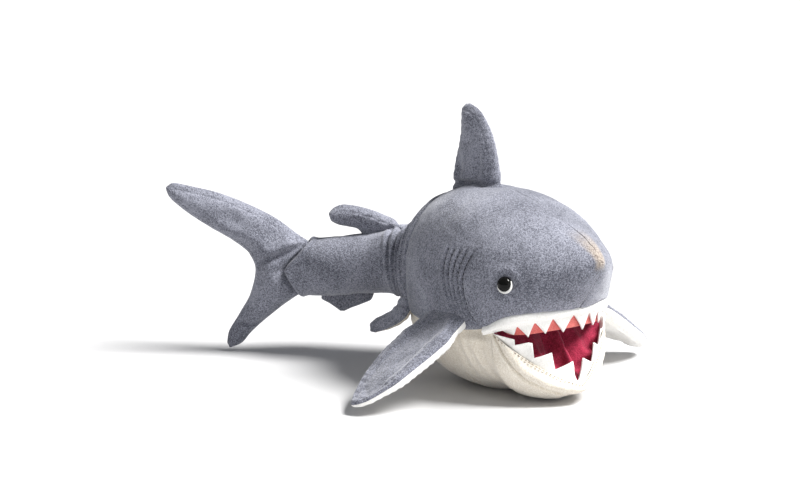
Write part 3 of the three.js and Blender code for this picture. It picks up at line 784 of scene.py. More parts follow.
jaw_outer[..., 2] = np.maximum(jaw_outer[..., 2], FLOOR)
jaw = closed_sheet("lower_jaw_plush", jaw_outer, jaw_out)
finish_piece(jaw, cream, "cream_plush", ["lower_jaw_skin", "lower_jaw_stuffing"])
frame_place((-THROAT_BACK + 3, 0, -HINGE_DROP))
frame_place((-HINGE_BACK - 4, 0, -HINGE_DROP))
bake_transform(jaw)
print("lower jaw", len(jaw.data.polygons), "faces")

# %% [markdown]
# A white band of plush edges the upper lip. It is sewn to the grey along the colour line, and its free
# edge is rolled into the mouth.

# %% Upper lip
LIP_FRONT_S, LIP_CORNER_S, LIP_SEAM_S = 29.5, 74.0, 26.8
ROLL, ROLL_STEPS = 2.4, 8  # radius of the rolled edge
LIP_SHEET = 1.2
DOWN = np.array([0, 0, -1.0])
q = np.sin(np.linspace(-math.pi / 2, math.pi / 2, 141))
lip_s = LIP_FRONT_S + (LIP_CORNER_S - LIP_FRONT_S) * q**2
seam_s = LIP_SEAM_S + (LIP_CORNER_S - LIP_SEAM_S) * q**2
lip_side = np.where(q < 0, -1.0, 1.0)
lip_turn = turn_at(lip_s, lip_height(-lip_s))
seam_turn = np.maximum(turn_at(seam_s, along(COLOUR_LINE, -seam_s)), lip_turn)
v = np.linspace(0, 1, 13)[None, :]
s = seam_s[:, None] + (lip_s - seam_s)[:, None] * v
turn = seam_turn[:, None] + (lip_turn - seam_turn)[:, None] * v + 0.03 * (1 - v) ** 4
front = body_point(s, turn, lip_side[:, None])
out = body_normal(s, turn, lip_side[:, None])
out[..., 2] = np.maximum(out[..., 2], -0.35)
out /= np.linalg.norm(out, axis=-1, keepdims=True)
swell = 1.4 * np.sin(v * math.pi) ** 0.7 - 2.2 * (1 - v) ** 6 + 0.3 * lumps(front, 9, 21)
front = front + out * swell[..., None]
edge = front[:, -1]
flat_out = out[:, -1] * np.array([1.0, 1.0, 0.0])
flat_out /= np.linalg.norm(flat_out, axis=-1, keepdims=True)
curl = np.linspace(0.35, 2.6, ROLL_STEPS)[None, :, None]
turned_in = np.cos(curl) * flat_out[:, None] + np.sin(curl) * DOWN
rolled = edge[:, None] - ROLL * flat_out[:, None] + ROLL * turned_in
lip_points = np.concatenate([front, rolled], 1)
rough_out = np.concatenate([out, np.repeat(flat_out[:, None], ROLL_STEPS, 1)], 1)
lip_out = grid_normals(lip_points, rough_out)
lip_out[:, -ROLL_STEPS:] = turned_in
lip = closed_sheet("upper_lip_plush", lip_points, lip_out, LIP_SHEET)
finish_piece(lip, white, "white_plush", ["upper_lip_band"], "torso")
print("upper lip", len(lip.data.polygons), "faces")

# %% [markdown]
# Teeth are zigzags cut from stiff white felt. The upper row hangs from the lip band, with a strip of
# salmon felt behind it for the gum. The lower row stands on the rim. A cut felt edge stays sharp, so the
# points are kept.

# %% Teeth and gum
TEETH, TOOTH = 8, 13.5  # in each row, and the height of the longest


def lip_curve(t, reach, half, power=2.0):
    """Curve from corner to corner of the upper lip, as a superellipse seen from above."""
    x = -HINGE_BACK + reach * np.abs(np.cos(t * math.pi / 2)) ** (2 / power)
    y = half * bulge(np.sin(t * math.pi / 2), power)
    return x, y


def felt_strip(name, x, y, root, depth, lean, rows=7, thickness=1.5):
    """Strip of felt along a path. Its cut edge stands depth from the root, and lean further out."""
    ahead = np.stack([np.gradient(x), np.gradient(y)], -1)
    ahead /= np.linalg.norm(ahead, axis=-1, keepdims=True)
    square = np.stack([ahead[:, 1], -ahead[:, 0], 0 * x], -1)
    middle = np.array([-HINGE_BACK - 10, 0, 0])
    facing = np.sign(((np.stack([x, y, 0 * x], -1) - middle) * square).sum(-1, keepdims=True))
    square = square * facing
    down = np.linspace(0, 1, rows)[None, :]
    slope = np.gradient(root) / np.maximum(np.hypot(np.gradient(x), np.gradient(y)), 1e-6)
    slope = np.convolve(np.pad(slope, 6, mode="edge"), np.ones(13) / 13, mode="valid")
    tilt = np.arctan(slope)
    rise = np.stack([-np.sin(tilt) * ahead[:, 0], -np.sin(tilt) * ahead[:, 1], np.cos(tilt)], -1)
    base = np.stack([x, y, root], -1)
    points = base[:, None] + rise[:, None] * (depth[:, None] * down)[..., None]
    wave = 0.6 * lumps(points, 14, len(name))
    points += square[:, None] * (lean * down + wave)[..., None]
    return closed_sheet(name, points, np.repeat(square[:, None], rows, 1), thickness)


def evenly(x, y, share):
    """Parameter values that divide a curve's length at the given shares."""
    length = np.concatenate([[0], np.cumsum(np.hypot(np.diff(x), np.diff(y)))])
    return np.interp(share, length / length[-1], np.linspace(-1, 1, len(x)))


def tooth_path(teeth, samples=9):
    """Path positions from -1 to 1, and a zigzag from 0 in the valleys to 1 at the points."""
    position = np.linspace(0, 2 * teeth, 2 * teeth * samples + 1)
    return position / teeth - 1, 1 - np.abs(position % 2 - 1)


path, zig = tooth_path(TEETH)
fine = np.linspace(-1, 1, 400)
path_share = (np.sign(path) * np.abs(path) ** 0.85 + 1) / 2
size = 0.45 + 0.55 * np.cos(path * math.pi / 2) ** 0.6

t = evenly(*lip_curve(fine * 0.95, 34.0, 58.0), path_share) * 0.95
x, y = lip_curve(t, 34.0, 58.0)
irregular = 1 + 0.08 * np.sin(7.1 * path + 1.0)
corner_limit = 2.0 + 0.62 * (x + HINGE_BACK)  # short near the corners, so that the jaw can close
drop = np.minimum(3.0 + zig * TOOTH * size * irregular, corner_limit)
lean = -1.0 - 2.0 * np.abs(path)[:, None]
upper_teeth = felt_strip("upper_teeth_felt", x, y, lip_height(x) + 1.5, -drop, lean)
finish_piece(upper_teeth, tooth_felt, "white_felt", ["upper_teeth_strip"], "torso")

t = np.linspace(-0.93, 0.93, 121)
x, y = lip_curve(t, 30.5, 54.0)
hang = 14.0 * (np.cos(t * math.pi / 2) ** 0.3)
lean = -0.5 - 2.0 * np.abs(t)[:, None]
gum = felt_strip("upper_gum_felt", x, y, lip_height(x) + 2.0, -hang, lean, 9, 1.8)
finish_piece(gum, gum_felt, "gum_felt", ["upper_gum_strip"], "torso")

curve = rim_point(fine * 0.95, -1.8)
t = evenly(curve[:, 0] * 1.5, curve[:, 1], path_share) * 0.95
rim = rim_point(t, -1.8)
irregular = 1 + 0.08 * np.sin(5.3 * path + 0.4)
valley = 5.5 - 2.5 * np.exp(-(path / 0.08) ** 2)
corner_limit = 0.5 + 0.85 * (rim[:, 0] + HINGE_BACK)
rise = np.minimum(valley + zig * TOOTH * size * irregular, corner_limit)
lean = -1.5 + 6.0 * np.abs(path)[:, None] ** 0.7
lower_teeth = felt_strip("lower_teeth_felt", rim[:, 0], rim[:, 1], rim[:, 2] - 1.5, rise, lean)
finish_piece(lower_teeth, tooth_felt, "white_felt", ["lower_teeth_strip"], "lower_jaw")
print("teeth:", TEETH, "above and", TEETH, "below, up to", round(float(rise.max())), "mm tall")

# %% [markdown]
# The mouth is lined with burgundy velour. The roof is a shallow dome from the gum back to the hinge. The
# floor follows the slope of the jaw, and a soft fold stands along its middle like a tongue. Both end at
# the hinge line, so that they stay together when the jaw moves.

# %% Mouth lining
LINING = 1.2
v = np.linspace(0, 1, 40)[None, :]
t = np.sin(np.linspace(-math.pi / 2, math.pi / 2, 121)) * 0.985
x, y = lip_curve(t, 33.0, 59.5)
start = np.stack([x, y, lip_height(x) + 1.5], -1)[:, None]
stop = np.stack([0 * x - HINGE_BACK - 5, y * 0.97, 0 * x - HINGE_DROP - 4], -1)[:, None]
width = np.sqrt(np.clip(1 - (y / 60) ** 2, 0, 1))[:, None]
roof = start + (stop - start) * v[..., None]
roof[..., 2] += 15 * width * np.sin(v * math.pi) ** 0.8
roof[..., 0] -= 9 * width * np.sin(v * math.pi)
roof_out = grid_normals(roof, np.broadcast_to(np.array([-0.3, 0, 1.0]), roof.shape))
roof += roof_out * (0.9 * lumps(roof, 12, 31))[..., None]
mouth_roof = closed_sheet("mouth_roof_velour", roof, roof_out, LINING)
finish_piece(mouth_roof, burgundy, "mouth_velour", ["mouth_palate_lining"], "torso")

t = np.sin(np.linspace(-math.pi / 2, math.pi / 2, 161)) * 0.985
rim = rim_point(t, -2.6 - 2.2 * rim_forward(t) ** 3)
start = rim[:, None] + np.array([0, 0, -0.8])
stop = np.stack([0 * t - HINGE_BACK - 4, rim[:, 1] * 0.96, 0 * t - HINGE_DROP + 2.5], -1)[:, None]
floor = start + (stop - start) * v[..., None]
width = np.sqrt(np.clip(1 - (rim[:, 1] / 64) ** 2, 0, 1))[:, None]
sag = 5.0 * width * np.sin(np.clip(v * 1.08, 0, 1) * math.pi) ** 0.7
across = floor[..., 1] - 2.0
fold = 9.5 * np.exp(-(across / 4.5) ** 2) - 3.0 * np.exp(-((np.abs(across) - 10) / 4.5) ** 2)
fold += 2.5 * np.exp(-((np.abs(across) - 24) / 5) ** 2)
fold = fold * np.sin(np.clip(v * 0.95 + 0.03, 0, 1) * math.pi) ** 0.6
floor_up = np.array([0.8, 0, 0.6])
floor += floor_up * (fold - sag)[..., None]
floor_out = grid_normals(floor, np.broadcast_to(floor_up, floor.shape))
floor += floor_out * (1.0 * lumps(floor, 13, 33) + 0.4 * lumps(floor, 6, 34))[..., None]
mouth_floor = closed_sheet("mouth_floor_velour", floor, floor_out, LINING)
finish_piece(mouth_floor, burgundy, "mouth_velour", ["lower_jaw_lining"], "lower_jaw")
print("mouth lining:", len(mouth_roof.data.polygons) + len(mouth_floor.data.polygons), "faces")

# %% [markdown]
# A safety eye is a black dome on a stem, pushed through the skin. Here a pale ring sits under the dome, a
# little lower, so it shows as a bright crescent.

# %% Eyes


def turned(name, profile, centre, axis, segments=48):
    """Solid of revolution from (radius, height) points, its heights measured along the axis."""
    axis = Vector(axis).normalized()
    spin = axis.to_track_quat("Z", "Y").to_matrix()
    points, count = [], len(profile)
    for radius, height in profile:
        for k in range(segments):
            angle = 2 * math.pi * k / segments
            points.append(spin @ Vector((radius * math.cos(angle), radius * math.sin(angle), height)))
    faces = []
    for i in range(count - 1):
        for k in range(segments):
            n = (k + 1) % segments
            low, high = i * segments, (i + 1) * segments
            faces.append((low + k, low + n, high + n, high + k))
    return to_mesh(name, np.array(points) + np.array(centre), faces)


DOME, RING = 6.4, 6.9  # radii of the dome and of the pale ring
arc = [math.radians(a) for a in range(0, 91, 6)]
dome_profile = [(0.0, -3.0), (DOME - 0.5, -3.0), (DOME, -2.4)]
dome_profile += [(DOME * math.cos(a), -0.4 + 4.8 * math.sin(a)) for a in arc]
ring_profile = [(4.0, -2.6), (RING - 0.4, -2.6), (RING, -1.8), (RING + 0.1, -0.9), (RING - 0.1, 0.0),
                (RING - 0.6, 0.4), (4.0, 0.4), (4.0, -2.6)]
for hand, side in (("left", 1), ("right", -1)):
    middle = body_point(EYE_S, EYE_TURN, side)
    axis = body_normal(EYE_S, EYE_TURN, side) + np.array([-0.14, 0, 0.02])
    axis /= np.linalg.norm(axis)
    dome = turned(f"eye_dome_{hand}", dome_profile, middle + np.array([0, 0, 0.5]), axis)
    finish_piece(dome, eye_black, "eye_plastic", [f"eye_{hand}"], "torso")
    ring = turned(f"eye_ring_{hand}", ring_profile, middle + np.array([0.1, 0, -0.6]), axis)
    finish_piece(ring, eye_pale, "pale_plastic", [f"eye_disc_{hand}"], "torso")
print("eye dome", 2 * DOME, "mm across")

# %% [markdown]
# Sewing thread shows as short dashes: the needle goes in and out every few millimetres. Each gill tuck is
# held by one line of dark stitches, lying at the bottom of its groove. A pale line holds the felt teeth
# to the lower rim.

# %% Stitches
# along a stitch: place from its start to its end, and its thickness there
STITCH_SHAPE = (0.0, 0.05), (0.12, 0.75), (0.3, 1.0), (0.5, 1.05), (0.7, 1.0), (0.88, 0.75), (1.0, 0.05)
STITCH_DEPTH = 1.25  # the thread lies at the bottom of its groove


def dashes(name, path, pitch=STITCH_PITCH, length=2.5, radius=0.42, ring=8):
    """Row of short stitches along a path of points."""
    path = np.asarray(path)
    travelled = np.concatenate([[0], np.cumsum(np.linalg.norm(np.diff(path, axis=0), axis=1))])

    def at(distance):
        return np.array([np.interp(distance, travelled, path[:, k]) for k in range(3)])

    points, faces = [], []
    for start in np.arange(pitch * 0.3, travelled[-1] - length, pitch):
        ahead = at(start + length) - at(start)
        ahead /= np.linalg.norm(ahead)
        side_way = np.cross(ahead, [0.31, 0.2, 0.93])
        side_way /= np.linalg.norm(side_way)
        up_way = np.cross(ahead, side_way)
        first = len(points)
        for place, size in STITCH_SHAPE:
            for k in range(ring):
                angle = 2 * math.pi * k / ring
                round_way = math.cos(angle) * side_way + math.sin(angle) * up_way
                points.append(at(start + length * place) + radius * size * round_way)
        for i in range(len(STITCH_SHAPE) - 1):
            low, high = first + i * ring, first + (i + 1) * ring
            for k in range(ring):
                n = (k + 1) % ring
                faces.append([low + k, low + n, high + n, high + k])
        faces.append([first + k for k in range(ring)][::-1])
        faces.append([first + (len(STITCH_SHAPE) - 1) * ring + k for k in range(ring)])
    return to_mesh(name, np.array(points), faces)


for hand, side in (("left", 1), ("right", -1)):
    for k in range(GILLS):
        turn = np.linspace(GILL_TOP_TURN, GILL_FOOT_TURN, 30)
        s = gill_s(k, turn)
        path = body_point(s, turn, side) - STITCH_DEPTH * body_normal(s, turn, side)
        stitch = dashes(f"gill_stitches_{hand}_{k + 1}", path)
        finish_piece(stitch, grey_thread, "gill_thread", [f"gill_thread_{hand}_{k + 1}"], "torso")

rim_path = rim_point(np.linspace(-0.9, 0.9, 160), 1.2) + np.array([0, 0, -0.8])
rim_stitches = dashes("lower_rim_stitches", rim_path, pitch=3.6, length=2.3, radius=0.38)
finish_piece(rim_stitches, pale_thread, None, None, "lower_jaw")
print("stitches on", GILLS, "tucks a side and along the rim")

# %% [markdown]
# A fin is two panels sewn round the edge and turned right side out over a thin pad. The edge seam is hard
# and slightly puckered, and the faces swell between. The cloth is puffed from the distance to the
# outline, the way a stuffed pillow swells away from its seam.

# %% Fins


def outline_distance(points, outline):
    """Distance in the fin's plane from each point to a polyline."""
    flat = points.reshape(-1, 1, 2)
    a, b = outline[None, :-1], outline[None, 1:]
    along_edge = b - a
    t = ((flat - a) * along_edge).sum(-1) / np.maximum((along_edge**2).sum(-1), 1e-9)
    nearest = a + np.clip(t, 0, 1)[..., None] * along_edge
    return np.linalg.norm(flat - nearest, axis=-1).min(1).reshape(points.shape[:-1])


print("distance to a fin's outline is worked out on its flat pattern")

# %% [markdown]
# Stuffing presses a fin's two faces apart, and the cloth between the seams bulges and wrinkles. A coarse
# pad of both faces, sewn round its edge and held at its root, is blown up by the cloth solver with a
# little pressure. How far each point moved is then added to the fine panels. A cap on the movement keeps
# a fin from ballooning.

# %% Stuffing a fin with the cloth solver
ROWS, COLS, FRAMES = 30, 22, 20
MOST = 5.0  # millimetres that the solver may move a point
PRESSURE = 3.0


def refine(coarse, rows, cols):
    """Smoothly resamples a small grid of vectors to rows by cols."""
    high, wide, _ = coarse.shape
    down, right = np.linspace(0, high - 1, rows), np.linspace(0, wide - 1, cols)
    tall = np.stack([[np.interp(down, range(high), coarse[:, j, k]) for j in range(wide)]
                     for k in range(3)], -1).swapaxes(0, 1)
    return np.stack([[np.interp(right, range(wide), tall[i, :, k]) for i in range(rows)]
                     for k in range(3)], -1)


def pad_object(points, upper, lower):
    """Coarse pad of two faces that share their rim."""
    quads = []
    for index in (upper, lower[:, ::-1]):
        corners = np.stack([index[:-1, :-1], index[:-1, 1:], index[1:, 1:], index[1:, :-1]], -1)
        quads += corners.reshape(-1, 4).tolist()
    mesh = bpy.data.meshes.new("fin_pad")
    mesh.from_pydata((points * MM).tolist(), [], quads)
    check = bmesh.new()
    check.from_mesh(mesh)
    bmesh.ops.recalc_face_normals(check, faces=check.faces)
    check.to_mesh(mesh)
    check.free()
    pad = bpy.data.objects.new("fin_pad", mesh)
    bpy.context.scene.collection.objects.link(pad)
    held = [int(k) for k in upper[0]] + [int(k) for k in upper[1]] + [int(k) for k in lower[1]]
    pad.vertex_groups.new(name="held").add(sorted(set(held)), 1.0, "REPLACE")
    return pad


def blow_up(pad):
    """Runs the cloth solver on a pad, and gives its points after the last frame, in millimetres."""
    cloth = pad.modifiers.new("cloth", "CLOTH")
    cloth.settings.use_pressure = True
    cloth.settings.uniform_pressure_force = PRESSURE
    cloth.settings.vertex_group_mass = "held"
    cloth.settings.quality = 5
    cloth.settings.effector_weights.gravity = 0
    cloth.point_cache.frame_start, cloth.point_cache.frame_end = 1, FRAMES
    for frame_number in range(1, FRAMES + 1):
        bpy.context.scene.frame_set(frame_number)
    puffed = pad.evaluated_get(bpy.context.evaluated_depsgraph_get()).to_mesh()
    after = np.empty(len(puffed.vertices) * 3)
    puffed.vertices.foreach_get("co", after)
    bpy.data.objects.remove(pad)
    bpy.context.scene.frame_set(1)
    return after.reshape(-1, 3) / MM


def stuff(fin, plane, depths):
    """How far pressure moves each face of a fin, found on a coarse copy."""
    rows, cols = plane.shape[:2]
    i = np.linspace(0, rows - 1, ROWS).round().astype(int)
    j = np.linspace(0, cols - 1, COLS).round().astype(int)
    pick = np.ix_(i, j)
    chord, span = plane[..., 0][pick], plane[..., 1][pick]
    faces = {side: fin["place"](chord, span, side * depths[side][pick] * 0.9) for side in (1, -1)}
    inner = np.zeros((ROWS, COLS), bool)
    inner[1:-1, 1:-1] = True
    upper = np.arange(ROWS * COLS).reshape(ROWS, COLS)
    lower = upper.copy()
    lower[inner] = ROWS * COLS + np.arange(inner.sum())
    points = np.concatenate([faces[1].reshape(-1, 3), faces[-1][inner]])
    change = blow_up(pad_object(points, upper, lower)) - points
    size = np.linalg.norm(change, axis=1, keepdims=True)
    change *= np.minimum(1, MOST / np.maximum(size, 1e-9))
    print("   pad moved", size.mean().round(2), "mm on average,", size.max().round(2), "at most")
    return {1: refine(change[upper], rows, cols), -1: refine(change[lower], rows, cols)}


print("a pad has", ROWS, "by", COLS, "points a face, and the solver runs", FRAMES, "frames")

# %% [markdown]
# The drawn shape of a fin comes from its pattern: a leading and a trailing edge, and a thickness along
# the span. Near the seam the faces curve in, the seam puckers, and a row of topstitching runs beside it.

# %% Sewing a fin
FIN_SHEET, FIN_FILL = 1.0, 0.75


def fin_pattern(fin):
    """The flat grid of a fin, how far each point is from the seam, and how far each face stands out."""
    lead, trail, low, high = fin["lead"], fin["trail"], fin["lead"][0][0], fin["lead"][-1][0]
    closed_low = fin.get("closed_low", False)
    share = np.linspace(0, 1, fin.get("rows", 90))
    share = 0.5 - 0.5 * np.cos(share * math.pi) if closed_low else np.sin(share * math.pi / 2) ** 0.9
    spans = low + (high - low) * share
    chord = 0.5 - 0.5 * np.cos(np.linspace(0, math.pi, 72))
    front, rear = along(lead, spans), along(trail, spans)
    chords = rear[:, None] + (front - rear)[:, None] * chord[None, :]
    plane = np.stack([chords, np.repeat(spans[:, None], len(chord), 1)], -1)
    fine = np.linspace(low - (0 if closed_low else 30), high, 220)
    reach = np.clip(fine, low, high)
    edge_front = np.stack([along(lead, reach), fine], -1)
    edge_rear = np.stack([along(trail, reach), fine], -1)
    outline = np.concatenate([edge_rear, edge_front[::-1]])
    outline = np.concatenate([outline, outline[:1]]) if closed_low else outline
    away = outline_distance(plane, outline)
    half = np.clip((front - rear) / 2, 2.0, fin.get("crown", 17.0))[:, None]
    rounding = 1 - (1 - np.clip(away / half, 0, 1)) ** 2
    thick = np.maximum(along(fin["thick"], spans), 0.4)[:, None]
    return plane, away, rounding, thick


def fin_depths(fin, plane, away, rounding, thick, seed):
    """How far each face of a fin stands out from its middle plane."""
    pinch = 1 - fin.get("pinch", 0.3) * np.exp(-((plane[..., 1] - fin.get("seam", -99)) / 2.4) ** 2)
    depths = {}
    for side, (fullness, power) in zip((1, -1), fin.get("faces", ((1.0, 0.6), (1.0, 0.6)))):
        depth = thick * fullness * rounding**power * pinch
        depth = depth * (1 + 0.10 * np.sin(plane[..., 1] * 0.95 + seed) * np.exp(-away / 5))
        depth -= fin.get("topstitch", 0.5) * np.exp(-((away - 5.5) / 0.9) ** 2) * np.clip(away / 4, 0, 1)
        depths[side] = np.maximum(depth, 0.0)
    return depths


def sew_fin(fin, names, surfaces, slots, nodes, seed):
    """Makes a fin's two panels, one for each name. fin holds its place, edges, half thickness and more."""
    plane, away, rounding, thick = fin_pattern(fin)
    depths = fin_depths(fin, plane, away, rounding, thick, seed)
    moved = stuff(fin, plane, depths)
    chord, span = plane[..., 0], plane[..., 1]
    calm = fin["calm"](plane)[..., None] if "calm" in fin else 1.0
    for name, surface, slot_name, stands_for, side in zip(names, surfaces, slots, nodes, (1, -1)):
        depth = depths[side]
        body = fin["place"](chord, span, side * depth)
        centre = fin["place"](chord, span, side * 0.04)
        face = fin["place"](chord, span, side * (depth + 1)) - body
        wrinkle = fin.get("lumps", 0.8) * lumps(body, 24, seed + side) + 0.3 * lumps(body, 7, seed + 3)
        if "creases" in fin:
            wrinkle = wrinkle + fin["creases"](plane)
        wrinkle = wrinkle * np.clip(away / 7, 0, 1)
        body = body + face * wrinkle[..., None]
        behind = ((body - centre) * face).sum(-1, keepdims=True)
        body = np.where(behind < 0.15, centre + 0.15 * face, body)
        body = body + moved[side] * calm
        centre = centre + (moved[1] + moved[-1]) / 2 * calm
        panel = closed_sheet(name, body, body - centre, FIN_SHEET)
        finish_piece(panel, surface, slot_name, stands_for)
        start, end = fin["blend"]
        frame_place(start)
        frame_place(end)
        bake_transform(panel)
        print(name, len(panel.data.polygons), "faces")


print("a fin panel is", FIN_SHEET, "mm thick")

# %% [markdown]
# A fin stands either upright on the spine or out from the flank. Its pattern is drawn flat, with the
# chord forward and the span away from the body, and placed by one of two functions.

# %% Placing a fin


def upright(s, z, tilt=0.0, direction=1):
    """Fin frame standing on the spine: chord runs forward, span up or down, out to the side."""
    x, y, angle = (float(value) for value in spine(np.array(float(s))))

    def place(chord, span, out):
        span = span * direction
        out = out * direction
        forward = chord * math.cos(tilt) - span * math.sin(tilt)
        up = chord * math.sin(tilt) + span * math.cos(tilt)
        return np.stack([x + forward * math.cos(angle) - out * math.sin(angle),
                         y + forward * math.sin(angle) + out * math.cos(angle), z + up + 0 * forward], -1)

    return place


def flank(root, droop, rake, side):
    """Fin frame on the flank: chord runs forward, span outwards and down, out is its upper face."""
    chord_axis = np.array([math.cos(rake), side * math.sin(rake), 0.1])
    chord_axis /= np.linalg.norm(chord_axis)
    span_axis = np.array([0, side * math.cos(droop), -math.sin(droop)])
    span_axis -= chord_axis * span_axis.dot(chord_axis)
    span_axis /= np.linalg.norm(span_axis)
    face_axis = np.cross(chord_axis, span_axis) * side
    base = np.array([root[0], side * root[1], root[2]])

    def place(chord, span, out):
        chord, span, out = np.broadcast_arrays(np.asarray(chord, float), span, out)
        return base + chord[..., None] * chord_axis + span[..., None] * span_axis + out[..., None] * face_axis

    return place


def blend_ends(place, near, far):
    """The places of two points on the span at a fin's root."""
    zero = np.array(0.0)
    return [place(zero, np.array(float(span)), zero) for span in (near, far)]


def dimple(plane, chord, span, depth, wide, tall):
    """Hollow in a fin's face."""
    return -depth * np.exp(-((plane[..., 0] - chord) / wide) ** 2 - ((plane[..., 1] - span) / tall) ** 2)


print("fins are placed from the spine or the flank, on a body", round(2 * FLANK_RADIUS), "mm wide")

# %% [markdown]
# The dorsal fin is the tallest. The stuffing stops short of its base, which leaves two upright hollows
# and a seam that pinches it where it is sewn down.

# %% Dorsal fin


def dorsal_dimples(plane):
    """Hollows where the stuffing stops short of the base."""
    low_pair = dimple(plane, -16, 4, 3.2, 5, 9) + dimple(plane, 10, 8, 2.8, 4, 12)
    return low_pair + dimple(plane, -6, 26, 1.4, 7, 5)


dorsal = {
    "place": upright(160, 57.5, 0.1),
    "lead": [(-18, 30), (0, 27), (12, 26), (30, 22), (48, 12), (56, 4), (60.5, -6)],
    "trail": [(-18, -34), (0, -31), (14, -27), (32, -20), (48, -18), (56, -17), (60.5, -11)],
    "thick": [(-18, 11), (-8, 11.0), (0, 10), (25, 8.5), (45, 6.8), (56, 5.0), (60.5, 3)],
    "lumps": 0.9, "seam": -10, "pinch": 0.5, "creases": dorsal_dimples,
}
dorsal["blend"] = blend_ends(dorsal["place"], -8, 14)
sew_fin(dorsal, ["dorsal_velour_left", "dorsal_velour_right"], [fin_grey] * 2, ["grey_velour"] * 2,
        [["dorsal_panel_left", "dorsal_wadding"], ["dorsal_panel_right"]], 3)

# %% [markdown]
# The second dorsal fin and the anal fin are small, so they are stuffed hard and bend only at their roots.
# They stand opposite each other on the tail stock.

# %% Second dorsal fin and anal fin
second = {
    "place": upright(278, -1.5, 0.2),
    "lead": [(-12, 26), (0, 20), (6, 11), (12, 1), (17, -10), (20, -18), (22, -26)],
    "trail": [(-12, -12), (-3, -17), (1, -27), (4, -35), (9, -41), (15, -42), (20, -37), (22, -31)],
    "thick": [(-12, 7), (-4, 7.5), (6, 8), (12, 8.5), (18, 6.5), (22, 3)],
    "rows": 60, "crown": 9.0, "lumps": 0.6, "seam": -6.5,
}
second["blend"] = blend_ends(second["place"], -5, 7)
sew_fin(second, ["second_dorsal_velour_left", "second_dorsal_velour_right"], [fin_grey] * 2,
        ["grey_velour"] * 2,
        [["second_dorsal_panel_left", "second_dorsal_wadding"], ["second_dorsal_panel_right"]],
        5)

anal = {
    "place": upright(305, -75, 0.0, -1),
    "lead": [(-8, 27), (0, 24), (5, 14), (9, 4), (12, -2)],
    "trail": [(-8, -22), (0, -24), (5, -16), (9, -10), (12, -6)],
    "thick": [(-8, 5), (0, 4.6), (6, 4.6), (12, 2.8)],
    "rows": 50, "crown": 9.0, "lumps": 0.4, "topstitch": 0.3,
}
anal["blend"] = blend_ends(anal["place"], -5, 6)
sew_fin(anal, ["anal_velour_right", "anal_velour_left"], [fin_grey] * 2, ["grey_velour"] * 2,
        [["anal_panel_right", "anal_wadding"], ["anal_panel_left"]], 7)

# %% [markdown]
# The pectoral and pelvic fins have a grey top and a pale underside, which is fuller than the top. Left
# and right are mirror images.

# %% Pectoral and pelvic fins
for hand, side in (("left", 1), ("right", -1)):
    pectoral = {
        "place": flank([-121, 83, -67], 0.55, 0.08, side),
        "lead": [(-20, 30), (0, 33.5), (14, 37), (30, 36), (50, 33), (68, 30), (82, 24), (94, 17),
                 (100, 10), (103, 4)],
        "trail": [(-20, -24), (0, -27), (12, -32), (28, -32), (48, -29), (68, -23), (84, -14),
                  (96, -6), (100, -2), (103, 1)],
        "thick": [(-20, 9), (0, 8.0), (30, 9.0), (60, 8.5), (85, 7), (96, 5.5), (103, 3)],
        "rows": 120, "lumps": 1.1, "faces": ((0.85, 0.62), (1.25, 0.40)),
    }
    pectoral["blend"] = blend_ends(pectoral["place"], -8, 16)
    sew_fin(pectoral, [f"pectoral_velour_{hand}", f"pectoral_plush_{hand}"], [fin_grey, white],
            ["grey_velour", "cream_plush"],
            [[f"pectoral_top_{hand}", f"pectoral_wadding_{hand}"], [f"pectoral_under_{hand}"]],
            9 + side)
    pelvic = {
        "place": flank([-192, 64, -71], 0.95, 0.12, side),
        "lead": [(-16, 13), (0, 12), (7, 6), (14, -6), (18, -16), (21, -26)],
        "trail": [(-16, -10), (-4, -13), (3, -24), (9, -33), (16, -37), (21, -33)],
        "thick": [(-16, 5.5), (0, 5.5), (10, 6), (17, 5), (21, 3)],
        "rows": 60, "crown": 8.0, "lumps": 0.5, "topstitch": 0.3, "seam": -8,
    }
    pelvic["blend"] = blend_ends(pelvic["place"], -5, 6)
    sew_fin(pelvic, [f"pelvic_velour_{hand}", f"pelvic_plush_{hand}"], [fin_grey, cream],
            ["grey_velour", "cream_plush"],
            [[f"pelvic_top_{hand}", f"pelvic_wadding_{hand}"], [f"pelvic_under_{hand}"]],
            14 + side)

# %% [markdown]
# The tail fin has a long upper lobe and a shorter lower lobe. A deep slanting crease runs across the root
# of the upper lobe, where the stuffing stops. Its front edge goes into the pointed sleeve of the tail
# stock.

# %% Tail fin
CAUDAL_S = 352.0  # where along the spine the fin's pattern has its zero


def sleeve_edge(span):
    """Where the pointed sleeve of the tail stock ends on the fin, at each height."""
    level = (span + 47) / 25
    taper = np.where(level > 0, TAIL_POINT - TAIL_TOP, TAIL_POINT - TAIL_UNDER)
    return CAUDAL_S - TAIL_POINT + taper * np.minimum(np.abs(level), 1.2) ** (ROUNDNESS / 2)


def caudal_calm(plane):
    """The pad is thin where it enters the sleeve, so the cloth isn't pushed out there."""
    return np.clip((sleeve_edge(plane[..., 1]) - plane[..., 0]) / 14, 0, 1)


def caudal_creases(plane):
    """The slanting crease, the groove along the sleeve and two hollows."""
    chord, span = plane[..., 0], plane[..., 1]
    across = (chord - 10) * 0.365 - (span + 20) * 0.931
    reach = np.exp(-((chord + 20) / 27) ** 4)
    fold = (dip(across, 5.0, 3.6) + 1.6 * np.exp(-((across + 7) / 5) ** 2)) * reach
    groove = dip(chord - sleeve_edge(span) + 1.2, 4.0, 2.0) * np.exp(-((span + 47) / 28) ** 8)
    return fold + groove + dimple(plane, -62, 4, 2.6, 11, 8) + dimple(plane, -30, -66, 1.6, 8, 10)


